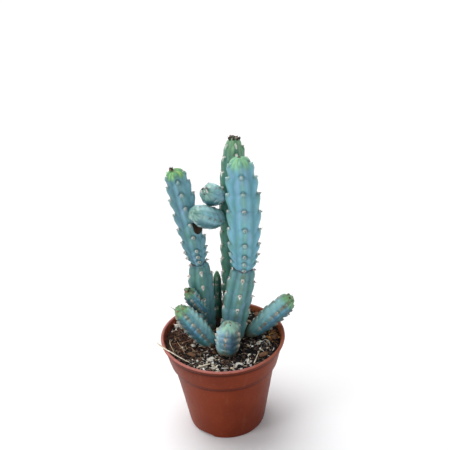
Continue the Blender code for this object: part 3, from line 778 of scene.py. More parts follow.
mainStem = {
    "growths": [
        {"start": (7.0, 5.0, 80.5), "end": (19.0, 2.0, 148.5), "bow": (-0.3, 0, 0),
         "radii": (10.8, 12.1, 9.6), "widestAt": 0.5, "swell": 1.6, "taper": 5.0},
        {"start": (19.0, 2.0, 148.5), "end": (19.0, -2.0, 246.0), "bow": (1.9, 0, 0),
         "radii": (9.4, 13.8, 8.8), "widestAt": 0.54, "swell": 3.0, "taper": 3.0},
    ],
    "closing": (4.5, 0.5), "flames": 0.35, "paintedLightSide": (0.15, 0, 0),
    "rows": [7.0, 21.0, 35.1, 49.6, 63.6, 72.9, 79.9, 86.9, 97.9, 111.9, 128.2, 142.7, 156.3, 166.2, 174.0],
    "phases": [0.0, -0.28, -0.62, -0.5, -0.18], "turn": 0.0, "chevron": 2.6,
    "tooth": [1.3, 2.35], "season": [0.0, 1.0], "necks": [70.4], "green": 11.0, "mark": [0.95, 0.3], "olive": 0.9,
    "firstAreole": 6.0, "cushion": 1.4, "spines": (6, 9), "spineLength": 2.4, "dome": broadDome,
    "crown": {"lift": 0.6, "nubs": 5, "spread": 1.5, "nub": 0.7, "spines": 8, "length": 1.6},
}
leftStem = {
    "growths": [
        {"start": (-15.9, 21.0, 80.5), "end": (-17.4, 19.6, 144.5), "bow": (0, 0, 0),
         "radii": (10.0, 11.4, 8.2), "widestAt": 0.5, "swell": 1.6, "taper": 4.2},
        {"start": (-17.4, 19.6, 144.5), "end": (-31.5, 15.5, 231.2), "bow": (0.6, 0, 0),
         "radii": (6.8, 10.9, 8.3), "widestAt": 0.5, "swell": 3.2, "taper": 4.0},
    ],
    "closing": (3.4, 0.3), "flames": 0.8, "paintedLightSide": (0.8, -0.15, 0),
    "rows": [10.0, 23.0, 35.5, 48.0, 61.0, 71.6, 77.0, 83.3, 96.3, 108.3, 123.6, 135.8, 146.6, 153.0],
    "phases": [0.0, -0.33, -0.7, -0.55, -0.38], "turn": 11.0, "chevron": 2.4,
    "tooth": [1.2, 2.5], "season": [0.1, 0.92], "necks": [66.4], "green": 7.5, "mark": [0.95, 0.3], "olive": 0.8,
    "firstAreole": 6.0, "cushion": 1.4, "spines": (6, 9), "spineLength": 2.8, "dome": flatDome,
    "crown": {"lift": 1.4, "shift": (-2.0, 1.0, 0.6), "nubs": 6, "spread": 1.6, "nub": 0.8, "spines": 10, "length": 2.2},
    "scar": {"place": (-14.2, 10.5, 186.5), "size": (6.0, 9.0, 10.5), "depth": 0.8},
}
backStem = {
    "growths": [
        {"start": (10.0, 29.5, 80.5), "end": (16.3, 29.0, 249.5), "bow": (0, 0, 0),
         "radii": (10.3, 12.9, 6.0), "widestAt": 0.6, "swell": 1.5, "taper": 4.0},
    ],
    "closing": (4.0, 0.2),
    "rows": [4.0 + 13.0 * k for k in range(12)] + [159.5, 168.0, 176.0],
    "phases": [0.0, -0.35, -0.7, -0.45, -0.2], "turn": 14.0, "chevron": 2.4,
    "tooth": [2.0], "season": [0.35], "green": 20.0, "mark": [0.8], "olive": 0.5,
    "firstAreole": 6.0, "cushion": 1.3, "spines": (3, 6), "spineLength": 2.8, "dome": roundDome,
    "crown": {"lift": 2.2, "nubs": 13, "spread": 4.6, "nub": 1.1, "spines": 16, "length": 1.8},
}
upperPup = {
    "growths": [
        {"start": (5.0, 27.0, 201.5), "end": (-8.0, 9.0, 215.6), "bow": (0, 0, -0.6),
         "radii": (2.8, 9.3, 4.2), "widestAt": 0.62, "swell": 2.6, "taper": 2.4},
    ],
    "closing": (3.0, 0.3), "uneven": 0.7, "bare": 0.20, "flames": 0.4,
    "rows": [9.0, 15.0, 20.5, 25.0], "phases": [0.0, -0.4, -0.8, -0.2, -0.6], "turn": 10.0, "chevron": 1.0,
    "tooth": [0.5], "season": [1.0], "green": 6.0, "mark": [0.4], "olive": 0.4, "planted": False,
    "firstAreole": 9.0, "cushion": 0.7, "spines": (1, 3), "spineLength": 1.4, "dome": roundDome, "groove": 0.11,
    "crown": {"lift": 1.5, "nubs": 10, "spread": 3.0, "nub": 1.1, "spines": 10, "length": 1.8, "felt": "ash"},
}
lowerPup = {
    "growths": [
        {"start": (4.5, 26.4, 182.0), "end": (-18.3, -3.0, 203.4), "bow": (0, -1.2, -0.4),
         "radii": (2.6, 9.6, 4.8), "widestAt": 0.58, "swell": 2.8, "taper": 3.0},
    ],
    "closing": (3.0, 0.3), "uneven": 0.7, "bare": 0.20, "flames": 0.4,
    "rows": [9.0, 17.0, 25.0, 32.0, 38.0, 42.0], "phases": [0.0, -0.4, -0.8, -0.2, -0.6], "turn": 30.0,
    "chevron": 1.0, "tooth": [0.5], "season": [0.7], "green": 6.0, "mark": [0.4], "olive": 0.4, "planted": False,
    "firstAreole": 10.0, "cushion": 0.7, "spines": (1, 3), "spineLength": 1.4, "dome": roundDome, "groove": 0.11,
    "crown": {"lift": 1.6, "nubs": 5, "spread": 1.6, "nub": 0.8, "spines": 6, "length": 1.6},
}
frontShoot = {
    "growths": [
        {"start": (2.6, -16.2, 80.5), "end": (5.6, -21.8, 110.4), "bow": (0, 0, 0),
         "radii": (8.7, 10.8, 7.6), "widestAt": 0.5, "swell": 2.0, "taper": 3.0},
    ],
    "closing": (7.0, 0.40), "uneven": 1.4, "bare": 0.35, "flames": 0.5, "stray": 2.0, "paintedLightSide": (-0.7, 0, 0),
    "rows": [4.0, 9.5, 16.5, 23.5, 28.5], "phases": [0.0, -0.4, -0.8, -0.2, -0.6], "turn": -18.0, "chevron": 1.2,
    "tooth": [1.6], "season": [0.75], "green": 7.0, "mark": [0.7], "olive": 2.4, "patch": (2.8, 3.4, 3.0),
    "firstAreole": 4.0, "cushion": 0.85, "spines": (1, 3), "spineLength": 1.3, "dome": roundDome, "groove": 0.15, "flank": 0.95,
    "crown": {"lift": 1.5, "nubs": 11, "spread": 3.0, "nub": 0.9, "spines": 9, "length": 1.6},
}
leftShoot = {
    "growths": [
        {"start": (-11.2, -4.0, 80.5), "end": (-34.8, -9.9, 120.2), "bow": (0, 0, 0),
         "radii": (6.6, 9.8, 7.0), "widestAt": 0.5, "swell": 2.2, "taper": 3.0},
    ],
    "closing": (5.5, 0.36), "uneven": 1.3, "bare": 0.35, "flames": 0.6, "stray": 2.0,
    "rows": [5.0, 12.0, 19.0, 26.0, 33.0, 38.5, 42.5], "phases": [0.0, -0.4, -0.8, -0.2, -0.6], "turn": 20.0,
    "chevron": 1.2, "tooth": [1.6], "season": [0.7], "green": 7.5, "mark": [0.5], "olive": 2.4, "patch": (2.6, 2.2, 1.7),
    "firstAreole": 5.0, "cushion": 0.8, "spines": (1, 4), "spineLength": 2.6, "dome": roundDome, "groove": 0.19, "flank": 0.9,
    "crown": {"lift": 1.5, "nubs": 9, "spread": 4.2, "nub": 0.9, "spines": 7, "length": 2.0,
              "thorn": ((-3.2, -1.0, -0.6), (-4.0, -1.0, 4.0))},
}
leftBackShoot = {
    "growths": [
        {"start": (-15.0, 12.0, 103.0), "end": (-27.8, 3.8, 128.8), "bow": (-0.6, -1.2, 0),
         "radii": (3.2, 6.7, 4.0), "widestAt": 0.5, "swell": 3.0, "taper": 3.0},
    ],
    "closing": (5.5, 0.36), "uneven": 1.1, "bare": 0.35, "flames": 0.6, "stray": 2.0,
    "rows": [6.0, 12.0, 18.0, 23.5, 28.0], "phases": [0.0, -0.4, -0.8, -0.2, -0.6], "turn": 0.0, "chevron": 1.0,
    "tooth": [1.6], "season": [0.75], "green": 9.0, "mark": [0.5], "olive": 2.4, "patch": (2.6, 2.2, 1.7), "planted": False,
    "firstAreole": 7.0, "cushion": 0.9, "spines": (1, 4), "spineLength": 1.6, "dome": roundDome, "groove": 0.19, "flank": 0.9,
    "crown": {"lift": 1.4, "nubs": 9, "spread": 2.8, "nub": 0.9, "spines": 6, "length": 1.6},
}
rightShoot = {
    "growths": [
        {"start": (24.8, 6.6, 80.5), "end": (58.0, 6.4, 113.6), "bow": (0, 0, 1.0),
         "radii": (6.2, 9.5, 7.4), "widestAt": 0.6, "swell": 2.2, "taper": 3.4},
    ],
    "closing": (5.5, 0.36), "uneven": 1.3, "bare": 0.30, "flames": 0.6, "stray": 2.0,
    "rows": [5.0, 12.0, 19.0, 26.0, 33.0, 39.5, 43.5], "phases": [0.0, -0.4, -0.8, -0.2, -0.6], "turn": -14.0,
    "chevron": 1.2, "tooth": [1.6], "season": [0.8], "green": 9.0, "mark": [0.5], "olive": 2.4, "patch": (2.6, 2.2, 1.7),
    "firstAreole": 5.0, "cushion": 0.85, "spines": (1, 4), "spineLength": 1.6, "dome": roundDome, "groove": 0.19, "flank": 0.9,
    "crown": {"lift": 1.5, "nubs": 11, "spread": 4.4, "nub": 1.0, "spines": 6, "length": 1.8},
}
backShoot = {
    "growths": [
        {"start": (-3.9, 34.8, 80.5), "end": (-2.8, 34.8, 125.6), "bow": (0, 0, 0),
         "radii": (4.0, 4.2, 2.6), "widestAt": 0.5, "swell": 2.0, "taper": 4.0},
    ],
    "closing": (3.0, 0.3),
    "rows": [6.0 + 7.5 * k for k in range(6)], "phases": [0.0, -0.4, -0.8, -0.2, -0.6], "turn": 0.0,
    "chevron": 0.8, "tooth": [0.4], "season": [0.5], "green": 9.0, "mark": [0.6], "olive": 0.6,
    "firstAreole": 6.0, "cushion": 0.7, "spines": (1, 3), "spineLength": 1.3, "dome": roundDome, "groove": 0.22,
    "crown": {"lift": 1.2, "nubs": 5, "spread": 1.2, "nub": 0.7, "spines": 5, "length": 1.4},
}

# The pot: thin pressed plastic, turned from one outline and cut by its drain holes and foot arches
pot = {
    "height": 86.0, "segments": 240,
    "outside": [(50.75, 86.0), (51.3, 86.0), (51.8, 85.9), (52.2, 85.65), (52.45, 85.3), (52.5, 84.9), (52.42, 84.2),
                (52.2, 83.4), (51.9, 82.8), (51.3, 82.35), (50.75, 82.2), (50.45, 82.0), (50.4, 81.6), (50.3, 80.5),
                (49.2, 75.6), (48.3, 72.0), (47.3, 67.6), (46.35, 64.0), (46.2, 63.3), (46.05, 62.95), (45.7, 62.75),
                (44.6, 62.6), (44.05, 62.5), (43.85, 62.2), (43.6, 60.8), (41.9, 51.0), (40.0, 40.0), (38.2, 29.0),
                (36.4, 18.0), (35.0, 9.0), (34.5, 6.0), (34.2, 4.4), (33.8, 2.2), (33.5, 1.0), (33.2, 0.3), (32.8, 0.0)],
    "inside": [(32.9, 4.0), (42.4, 62.9), (43.3, 64.3), (44.7, 64.9), (49.0, 82.2), (50.1, 85.2), (50.3, 85.7)],
    "floorTop": 4.0, "foot": 1.0, "footRing": 31.4,
    "drains": 6, "drainRadius": 3.2, "drainCircle": 17.0,
    "arches": 3, "archWidth": 17.0, "archHeight": 2.3, "archTurn": -126.0,
    "body": tint(118, 46, 19), "dark": tint(103, 37, 15), "lip": tint(190, 122, 114), "lipRight": tint(150, 86, 60), "step": tint(66, 22, 10),
    "dust": tint(168, 128, 112), "inner": tint(134, 64, 44), "innerLitRight": tint(190, 108, 68), "dirt": tint(52, 38, 30),
}


def potFinish():
    material, wire = newFinish("terracottaPlastic")
    at = wire.place()
    height = wire.make("ShaderNodeSeparateXYZ", None, {0: at}, 2) * 1000
    broad = wire.grain(at, 22.0, 3.0)
    fine = wire.grain(at, 420.0, 4.0, 0.6)
    streaks = wire.grain(wire.place(scale=(1, 1, 0.12)), 160.0, 4.0, 0.6)
    inside = wire.attribute("inside")
    colour = (broad.fade(0.35, 0.68)).blend(pot["body"], pot["dark"])
    colour = (streaks.fade(0.55, 0.85) * 0.10).blend(colour, pot["dust"])
    colour = (fine.fade(0.55, 0.8) * 0.12).blend(colour, pot["dust"])
    side = wire.make("ShaderNodeSeparateXYZ", None, {0: at}, 0)
    # inside wall: painted shade on the left, painted light in a brighter orange on the right, where the wall faces the
    # lamps
    colour = (inside * 0.85).blend(colour, side.fade(-0.01, 0.045).blend(pot["inner"], pot["innerLitRight"]))
    # painted shade: dark bands on the outside under the step and under the lip, where the overhangs cast shadow
    colour = (height.band(61.8, 4.6) * (1 - inside)).blend(colour, pot["step"])
    colour = (height.band(81.7, 3.8) * (1 - inside)).blend(colour, pot["step"])
    # painted highlight and pale wear on the lip top, in a lit pinkish tone on the left and a darker orange tone on the
    # right
    lipShare = height.fade(84.5, 85.6) * (0.35 + fine * 0.85)
    lipColour = (side.fade(0.0, 0.045) * 0.75).blend(pot["lip"], pot["lipRight"])
    colour = (lipShare * 0.9).blend(colour, lipColour)
    worn = (wire.grain(at, 90.0, 4.0, 0.7) + height.fade(84.5, 86.2) * 0.12).fade(0.62, 0.72)
    colour = (worn * height.fade(83.5, 85.5) * 0.5).blend(colour, pot["dust"])
    splash = wire.grain(wire.place(scale=(1, 1, 0.6)), 130.0, 5.0, 0.7).fade(0.60, 0.72)
    colour = (splash * (1 - height.fade(1, 16)) * 0.5).blend(colour, pot["dust"])
    soiled = (wire.grain(at, 240.0, 3.0, 0.6) + inside * 0.12 - 0.06).fade(0.5, 0.62) * inside
    colour = (soiled * (1 - height.fade(80.5, 85.4)) * 0.9).blend(colour, pot["dirt"])
    scratch = wire.cells(wire.place(scale=(0.35, 0.35, 1)), 210.0, "DISTANCE_TO_EDGE").fade(0.02, 0.0)
    rough = 0.40 + (fine - 0.5) * 0.22 + worn * 0.2 + scratch * 0.12 + inside * 0.12
    grainHeight = fine * 0.4 + streaks * 0.35 + wire.grain(at, 1500.0, 2.0) * 0.25 - scratch * 0.2
    bump = wire.bump(grainHeight, 0.28, 0.0004)
    return setShader(material, {"Base Color": colour, "Roughness": rough, "Normal": bump, "Specular IOR Level": 0.09})


def cutWith(piece, tools):
    for tool in tools:
        cut = piece.modifiers.new("cut", "BOOLEAN")
        cut.operation = "DIFFERENCE"
        cut.solver = "EXACT"
        cut.object = tool
    bpy.context.view_layer.update()
    shaped = bpy.data.meshes.new_from_object(piece.evaluated_get(bpy.context.evaluated_depsgraph_get()))
    piece.modifiers.clear()
    old = piece.data
    piece.data = shaped
    bpy.data.meshes.remove(old)
    for tool in tools:
        mesh = tool.data
        bpy.data.objects.remove(tool)
        bpy.data.meshes.remove(mesh)


def prismTool(name, outline, matrix, depth):
    # a closed bar of the outline, from 0 to depth along its own z
    count = len(outline)
    points = [matrix @ Vector((x, y, z)) * mm for z in (0, depth) for x, y in outline]
    faces = [tuple(range(count - 1, -1, -1)), tuple(range(count, 2 * count))]
    faces += [(k, (k + 1) % count, count + (k + 1) % count, count + k) for k in range(count)]
    mesh = bpy.data.meshes.new(name)
    mesh.from_pydata(points, [], faces)
    tool = bpy.data.objects.new(name, mesh)
    bpy.context.scene.collection.objects.link(tool)
    return tool


def potBulge(angle):  # the rim is pressed out a little at the left, where the pot is held
    away = np.angle(np.exp(1j * (np.asarray(angle) - math.radians(165))))
    return 1.5 * np.exp(-(away / 0.62) ** 2)


def makePot():
    segments = pot["segments"]
    angle = np.arange(segments) * 2 * math.pi / segments
    top = pot["height"]
    fineInside = []
    for (r0, z0), (r1, z1) in zip(pot["inside"], pot["inside"][1:]):
        for share in np.linspace(0, 1, max(2, int(abs(z1 - z0) / 4) + 1))[:-1]:
            fineInside.append((r0 + (r1 - r0) * share, z0 + (z1 - z0) * share))
    fineInside.append(pot["inside"][-1])
    outline = fineInside + pot["outside"] + [(pot["footRing"], 0.0), (pot["footRing"] - 0.5, pot["foot"])]
    inner = np.array([1.0] * len(fineInside) + [0.0] * (len(outline) - len(fineInside)))
    radius = np.array([r for r, z in outline])[:, None]
    height = np.array([z for r, z in outline])[:, None]
    oval = 0.16 * np.cos(2 * angle + 0.7) + 0.09 * np.cos(3 * angle - 1.1)  # thin plastic is never quite round
    lift = smoothstep(30, top, height)
    ring = radius + (oval[None, :] - np.abs(oval).max()) * lift * 0.9 + potBulge(angle)[None, :] * lift
    points = np.stack([ring * np.cos(angle), ring * np.sin(angle), np.broadcast_to(height, ring.shape)], -1)
    points = points.reshape(-1, 3)
    rings = len(outline)
    faces = [tuple(f) for f in gridFaces(rings, segments)]
    faces.append(tuple(range(segments)))
    faces.append(tuple(range((rings - 1) * segments, rings * segments))[::-1])
    faces = [tuple(reversed(f)) for f in faces]
    insideMask = np.repeat(inner, segments)
    piece = makePiece("terracottaPot", points, faces, potFinish(), "pot", {"inside": insideMask})
    tools = []
    for k in range(pot["drains"]):
        turn = math.radians(-96 + 60 * k)
        circle = [(pot["drainRadius"] * math.cos(t), pot["drainRadius"] * math.sin(t))
                  for t in np.linspace(0, 2 * math.pi, 32, endpoint=False)]
        place = (pot["drainCircle"] * math.cos(turn), pot["drainCircle"] * math.sin(turn), -2)
        tools.append(prismTool("drainTool", circle, Matrix.Translation(place), 8))
    for k in range(pot["arches"]):
        turn = math.radians(pot["archTurn"] + 120 * k)
        half = pot["archWidth"] / 2
        share = np.linspace(-1, 1, 15)
        arch = [(-half, -2.0)] + [(half * t, pot["archHeight"] * (1 - abs(t) ** 5.0)) for t in share] + [(half, -2.0)]
        out = Vector((math.cos(turn), math.sin(turn), 0))
        axes = Matrix((Vector((-math.sin(turn), math.cos(turn), 0)), Vector((0, 0, 1)), out)).transposed().to_4x4()
        tools.append(prismTool("archTool", arch[::-1], Matrix.Translation(out * 24) @ axes, 14))
    cutWith(piece, tools)
    piece.data.set_sharp_from_angle(angle=math.radians(38))


# The soil: dark on the right, brown with fibre on the left, with crumbs, chips and threads on top
soil = {
    "level": 80.6, "rings": 96, "around": 300,
    "crumbs": 4600, "threads": 860, "slivers": 240,
    "black": tint(17, 14, 14), "brown": tint(66, 40, 30), "wet": tint(28, 20, 17),
    "brownTones": [(44, 28, 20), (60, 38, 28), (74, 46, 34), (88, 58, 42), (52, 34, 26), (26, 19, 15), (108, 78, 54)],
    "blackTones": [(20, 18, 22), (34, 31, 36), (26, 22, 22), (46, 42, 46), (62, 52, 46), (16, 14, 16), (84, 72, 62)],
    "paleTones": [(244, 241, 232), (226, 218, 202), (196, 182, 158), (238, 230, 212), (208, 206, 200)],
    "threadTones": [(150, 112, 90), (176, 140, 116), (124, 82, 64), (200, 178, 150), (100, 64, 50)],
    "clusters": [  # x, y, spread, how many, share of pale ones, size
        (-45.0, 28.0, 3.5, 22, 0.95, 2.8), (-40.0, 23.5, 4.5, 34, 0.9, 2.6), (-42.3, 17.0, 3.5, 16, 0.8, 2.2),
        (-28.0, 33.0, 5.0, 30, 0.5, 2.0), (-25.0, -4.8, 2.4, 14, 0.8, 2.3), (-12.0, -12.0, 4.0, 10, 0.7, 1.6),
        (-9.0, -31.0, 4.5, 30, 0.85, 3.0), (-14.0, -33.0, 4.0, 24, 0.8, 2.4), (-20.0, -36.5, 4.5, 30, 0.8, 2.3),
        (-5.7, -38.0, 4.5, 30, 0.7, 2.5), (-44.0, 2.0, 4.0, 8, 0.3, 1.4), (-37.0, -12.0, 6.0, 14, 0.35, 1.6),
        (11.3, -38.0, 4.5, 30, 0.85, 2.9), (18.0, -35.8, 5.0, 22, 0.8, 2.4), (5.0, -41.5, 5.0, 20, 0.7, 2.2),
        (-2.0, -41.0, 4.0, 18, 0.6, 2.0), (-14.0, -25.0, 5.0, 22, 0.7, 1.8), (-27.0, -30.0, 4.0, 16, 0.7, 1.8),
        (34.0, 24.0, 4.0, 26, 0.8, 2.2), (38.0, 14.0, 4.0, 18, 0.7, 2.0), (17.6, -6.0, 3.0, 6, 0.5, 2.2), (24.0, -11.8, 3.4, 10, 0.85, 2.0),
        (27.3, -6.6, 3.0, 6, 0.8, 1.8), (35.0, -7.3, 3.0, 12, 0.9, 2.0), (31.7, -15.4, 4.0, 13, 0.85, 1.9),
        (37.0, -14.0, 4.0, 8, 0.7, 1.7), (33.7, -27.1, 2.4, 8, 0.6, 2.6), (21.3, -21.3, 7.0, 12, 0.8, 1.6),
        (29.0, 16.0, 6.0, 40, 0.55, 2.0), (24.5, 28.0, 6.0, 44, 0.5, 2.0), (22.4, 38.0, 5.0, 24, 0.45, 2.0),
        (33.0, 1.0, 5.0, 14, 0.5, 1.8), (8.0, 44.0, 4.0, 16, 0.5, 1.9), (-6.0, 43.0, 4.0, 16, 0.5, 1.9),
        (-22.0, 40.0, 4.0, 20, 0.6, 1.9),
    ],
    "goldTones": [(176, 122, 66), (150, 96, 50), (206, 160, 100), (122, 74, 42), (196, 142, 84)],
    "gold": [(42.5, 6.0, 4.0, 50), (44.5, -1.0, 3.5, 44), (39.5, -3.4, 4.0, 34), (36.0, 10.0, 5.0, 24), (30.0, 26.0, 6.0, 22)],
}


def soilTop(x, y):
    base = soil["level"] + 0.7 * math.sin(0.16 * x + 0.6) * math.cos(0.13 * y - 0.4)
    base += 0.35 * math.sin(0.42 * x - 0.31 * y + 1.1) - 0.5 * (math.hypot(x, y) / 52.5) ** 6
    rough = noise.noise((x * 0.16, y * 0.16, 3.1)) * 0.8 + noise.noise((x * 0.42, y * 0.42, 9.7)) * 0.55
    return base + rough + noise.noise((x * 1.1, y * 1.1, 5.5)) * 0.3


def soilFinish():
    material, wire = newFinish("pottingMix")
    at = wire.place()
    left = 1 - wire.make("ShaderNodeSeparateXYZ", None, {0: at}, 0).fade(-0.022, 0.012)
    left = left * (wire.make("ShaderNodeSeparateXYZ", None, {0: at}, 1).fade(-0.034, -0.014) * 0.7 + 0.3)
    clumps = wire.grain(at, 170.0, 5.0, 0.65)
    fine = wire.grain(at, 900.0, 4.0, 0.7)
    colour = (left * 0.75 + clumps * 0.5 - 0.2).fade(0.1, 0.9).blend(soil["black"], soil["brown"])
    colour = fine.fade(0.62, 0.42).blend(colour, soil["wet"])
    colour = (fine.fade(0.66, 0.74) * 0.5).blend(colour, tint(150, 118, 92))
    height = clumps * 0.6 + fine * 0.6
    bump = wire.bump(height, 0.9, 0.0012)
    return setShader(material, {"Base Color": colour, "Roughness": 0.9 + (fine - 0.5) * 0.15, "Normal": bump,
                                "Specular IOR Level": 0.25})


def crumbFinish():
    material, wire = newFinish("soilCrumbs")
    at = wire.place()
    tone = wire.attribute("tone", "Color")
    fine = wire.grain(at, 1500.0, 4.0, 0.65)
    value = 0.72 + fine * 0.56
    colour = wire.make("ShaderNodeVectorMath", {"operation": "SCALE"}, {0: tone, "Scale": value})
    bump = wire.bump(fine, 0.7, 0.0004)
    return setShader(material, {"Base Color": colour, "Roughness": 0.85 + (fine - 0.5) * 0.2, "Normal": bump,
                                "Specular IOR Level": 0.25})


def makeSoil():
    rings, around = soil["rings"], soil["around"]
    edge = 48.25
    angle = np.arange(around) * 2 * math.pi / around
    radius = np.linspace(0.5, edge, rings)
    points = []
    bulge = potBulge(angle)
    for r in radius[::-1]:
        for a, wide in zip(angle, bulge):
            out = r + wide * (r / edge) ** 4
            x, y = out * math.cos(a), out * math.sin(a)
            points.append((x, y, soilTop(x, y)))
    sides = []
    for r, z in ((32.6, 4.35), (42.0, 62.8), (43.2, 64.6), (44.2, 65.2), (47.6, 78.6)):
        sides += [(r * math.cos(a), r * math.sin(a), z) for a in angle]
    points = np.array(sides + points)
    total = len(points) // around
    faces = [tuple(f) for f in gridFaces(total, around)]
    faces.append(tuple(range(around))[::-1])
    faces.append(tuple(range((total - 1) * around, total * around)))
    makePiece("pottingSoil", points, faces, soilFinish(), "soil")


def hiddenByStem(x, y, margin=0.86):
    for _, _, _, stem, _, _, _ in plants:
        foot = stem["growths"][0]
        if stem.get("planted", True) and math.hypot(x - foot["start"][0], y - foot["start"][1]) < foot["radii"][0] * margin:
            return True
    return False


def makeCrumbs():
    dice = random.Random(41)
    base = bmesh.new()
    bmesh.ops.create_icosphere(base, subdivisions=1, radius=1.0)
    shape = np.array([v.co[:] for v in base.verts])
    sides = [tuple(v.index for v in f.verts) for f in base.faces]
    base.free()
    points, faces, tones = [], [], []
    total = 0
    places = []
    for _ in range(soil["crumbs"]):
        r, a = 47.4 * math.sqrt(dice.random()), dice.uniform(0, 2 * math.pi)
        places.append((r * math.cos(a), r * math.sin(a), 0.04, dice.uniform(0.35, 1.15) ** 1.3 * 1.25))
    for x, y, spread, count, pale, size in soil["clusters"]:
        for _ in range(count):
            places.append((dice.gauss(x, spread * 0.5), dice.gauss(y, spread * 0.5), pale, dice.uniform(0.4, 1.0) ** 1.5 * size))
    for x, y, spread, count in soil["gold"]:
        for _ in range(count):
            places.append((dice.gauss(x, spread * 0.5), dice.gauss(y, spread * 0.5), -1, dice.uniform(0.5, 1.0) * 1.6))
    for x, y, pale, size in places:
        reach = math.hypot(x, y)
        if reach > 47.2 or hiddenByStem(x, y):
            continue
        brown = x < -6 + 8 * dice.random() and y > -24 + 10 * dice.random()
        isPale = dice.random() < pale
        if isPale:
            tone = dice.choice(soil["paleTones"])
        else:
            tone = dice.choice(soil["goldTones" if pale < 0 else "brownTones" if brown else "blackTones"])
        glow = dice.uniform(0.8, 1.1)
        stretch = np.array([dice.uniform(0.6, 1.5), dice.uniform(0.5, 1.1), dice.uniform(0.35, 0.8)]) * size
        kind = dice.random()
        if (isPale or pale < 0) and kind < 0.45:  # a splinter
            stretch = stretch * (1.7, 0.45, 0.45)
        elif isPale and kind < 0.75:  # a flake
            stretch = stretch * (1.2, 1.0, 0.35)
        turn = Matrix.Rotation(dice.uniform(0, 6.28), 3, "Z") @ Matrix.Rotation(dice.uniform(-0.9, 0.9), 3, "X")
        bumpy = shape * (1 + 0.4 * np.array([dice.uniform(-1, 1) for _ in shape]))[:, None]
        where = (bumpy * stretch) @ np.array(turn).T + (x, y, soilTop(x, y) + stretch[2] * 0.45)
        points.append(where)
        tones.append(np.tile(np.array(tint(*[min(255, c * glow) for c in tone])), (len(shape), 1)))
        faces += [tuple(i + total for i in f) for f in sides]
        total += len(shape)
    makePiece("soilCrumbs", np.concatenate(points), faces, crumbFinish(), None,
              {"tone": np.concatenate(tones)}, smooth=False)
    print(len(places), "crumbs on the soil")


def makeThreads():
    dice = random.Random(77)
    store = newStore()
    finish = bpy.data.materials["soilCrumbs"]
    for k in range(soil["threads"]):
        r, a = 46.8 * math.sqrt(dice.random()), dice.uniform(0, 2 * math.pi)
        x, y = r * math.cos(a), r * math.sin(a)
        if x > 6 and dice.random() < 0.55 or hiddenByStem(x, y, 1.1):
            continue
        way = dice.uniform(0, 2 * math.pi)
        length = dice.uniform(2.5, 11.0)
        curl = dice.uniform(-0.22, 0.22)
        rise = dice.uniform(0.1, 1.1)
        line = []
        for step in range(7):
            if math.hypot(x, y) > 47.0:
                break
            line.append((x, y, soilTop(x, y) + 0.15 + rise * math.sin(math.pi * step / 6) * dice.uniform(0.7, 1.3)))
            x += math.cos(way) * length / 6
            y += math.sin(way) * length / 6
            way += curl + dice.uniform(-0.25, 0.25)
        if len(line) > 3:
            tone = dice.choice(soil["threadTones"])
            thick = dice.uniform(0.08, 0.2)
            addTube(store, line, [thick] * len(line), 4, tint(*tone))
    for k in range(soil["slivers"]):  # flat pale splinters
        x, y, spread = dice.choices(soil["clusters"], [c[3] for c in soil["clusters"]])[0][:3]
        x, y = dice.gauss(x, spread * 0.7), dice.gauss(y, spread * 0.7)
        if math.hypot(x, y) > 45.5 or hiddenByStem(x, y, 1.05):
            continue
        way, length = dice.uniform(0, 2 * math.pi), dice.uniform(1.2, 4.2)
        lift = dice.uniform(0.1, 0.9)
        line = [(x + math.cos(way) * length * t, y + math.sin(way) * length * t,
                 soilTop(x, y) + 0.35 + lift * t) for t in (0, 0.33, 0.66, 1)]
        thick = dice.uniform(0.18, 0.42)
        addTube(store, line, [thick * 0.5, thick, thick * 0.9, thick * 0.3], 5, tint(*dice.choice(soil["paleTones"])))
    for path, thick, tone in straws["extra"]:
        line = smoothPath([(x, y, soilTop(x, y) + lift) for x, y, lift in path], 6)
        addTube(store, line, [thick * (0.55 + 0.45 * math.sin(math.pi * k / (len(line) - 1))) for k in range(len(line))],
                6, tint(*tone))
    makePiece("soilThreads", np.concatenate(store["points"]), store["faces"], finish, None,
              {"tone": np.concatenate(store["colour"])})


def smoothPath(points, steps):  # a rounded line through the points
    p = [Vector(q) for q in points]
    p = [p[0] * 2 - p[1]] + p + [p[-1] * 2 - p[-2]]
    line = []
    for k in range(1, len(p) - 2):
        for step in range(steps):
            t = step / steps
            a, b, c, d = p[k - 1], p[k], p[k + 1], p[k + 2]
            line.append(0.5 * ((2 * b) + (c - a) * t + (2 * a - 5 * b + 4 * c - d) * t * t + (3 * b - a - 3 * c + d) * t ** 3))
    line.append(p[-2])
    return [tuple(q) for q in line]


# Loose pieces: white perlite, bark chips and dry straws
perlite = {
    "perlite_1": ((-39.6, 20.6), (6.5, 5.0, 4.0)), "perlite_2": ((-35.5, 26.0), (5.6, 4.5, 3.8)),
    "perlite_3": ((-25.3, -9.6), (4.6, 4.0, 3.4)), "perlite_4": ((-11.0, -29.4), (8.0, 5.4, 3.6)),
    "perlite_5": ((11.5, -38.4), (8.0, 4.6, 3.2)), "perlite_6": ((29.0, -11.0), (4.6, 4.0, 3.0)),
    "white": tint(226, 222, 212), "stain": tint(168, 152, 128), "pit": tint(96, 84, 70),
}
bark = {
    "bark_1": ((43.2, -3.0), (7.0, 4.0, 1.8), 75.0), "bark_2": ((32.0, -26.8), (7.0, 4.4, 1.8), 25.0),
    "bark_3": ((-27.0, -20.5), (7.5, 4.0, 1.6), -35.0), "bark_4": ((31.0, 32.0), (6.0, 4.5, 1.8), 100.0),
    "light": tint(150, 108, 72), "dark": tint(70, 44, 30),
}
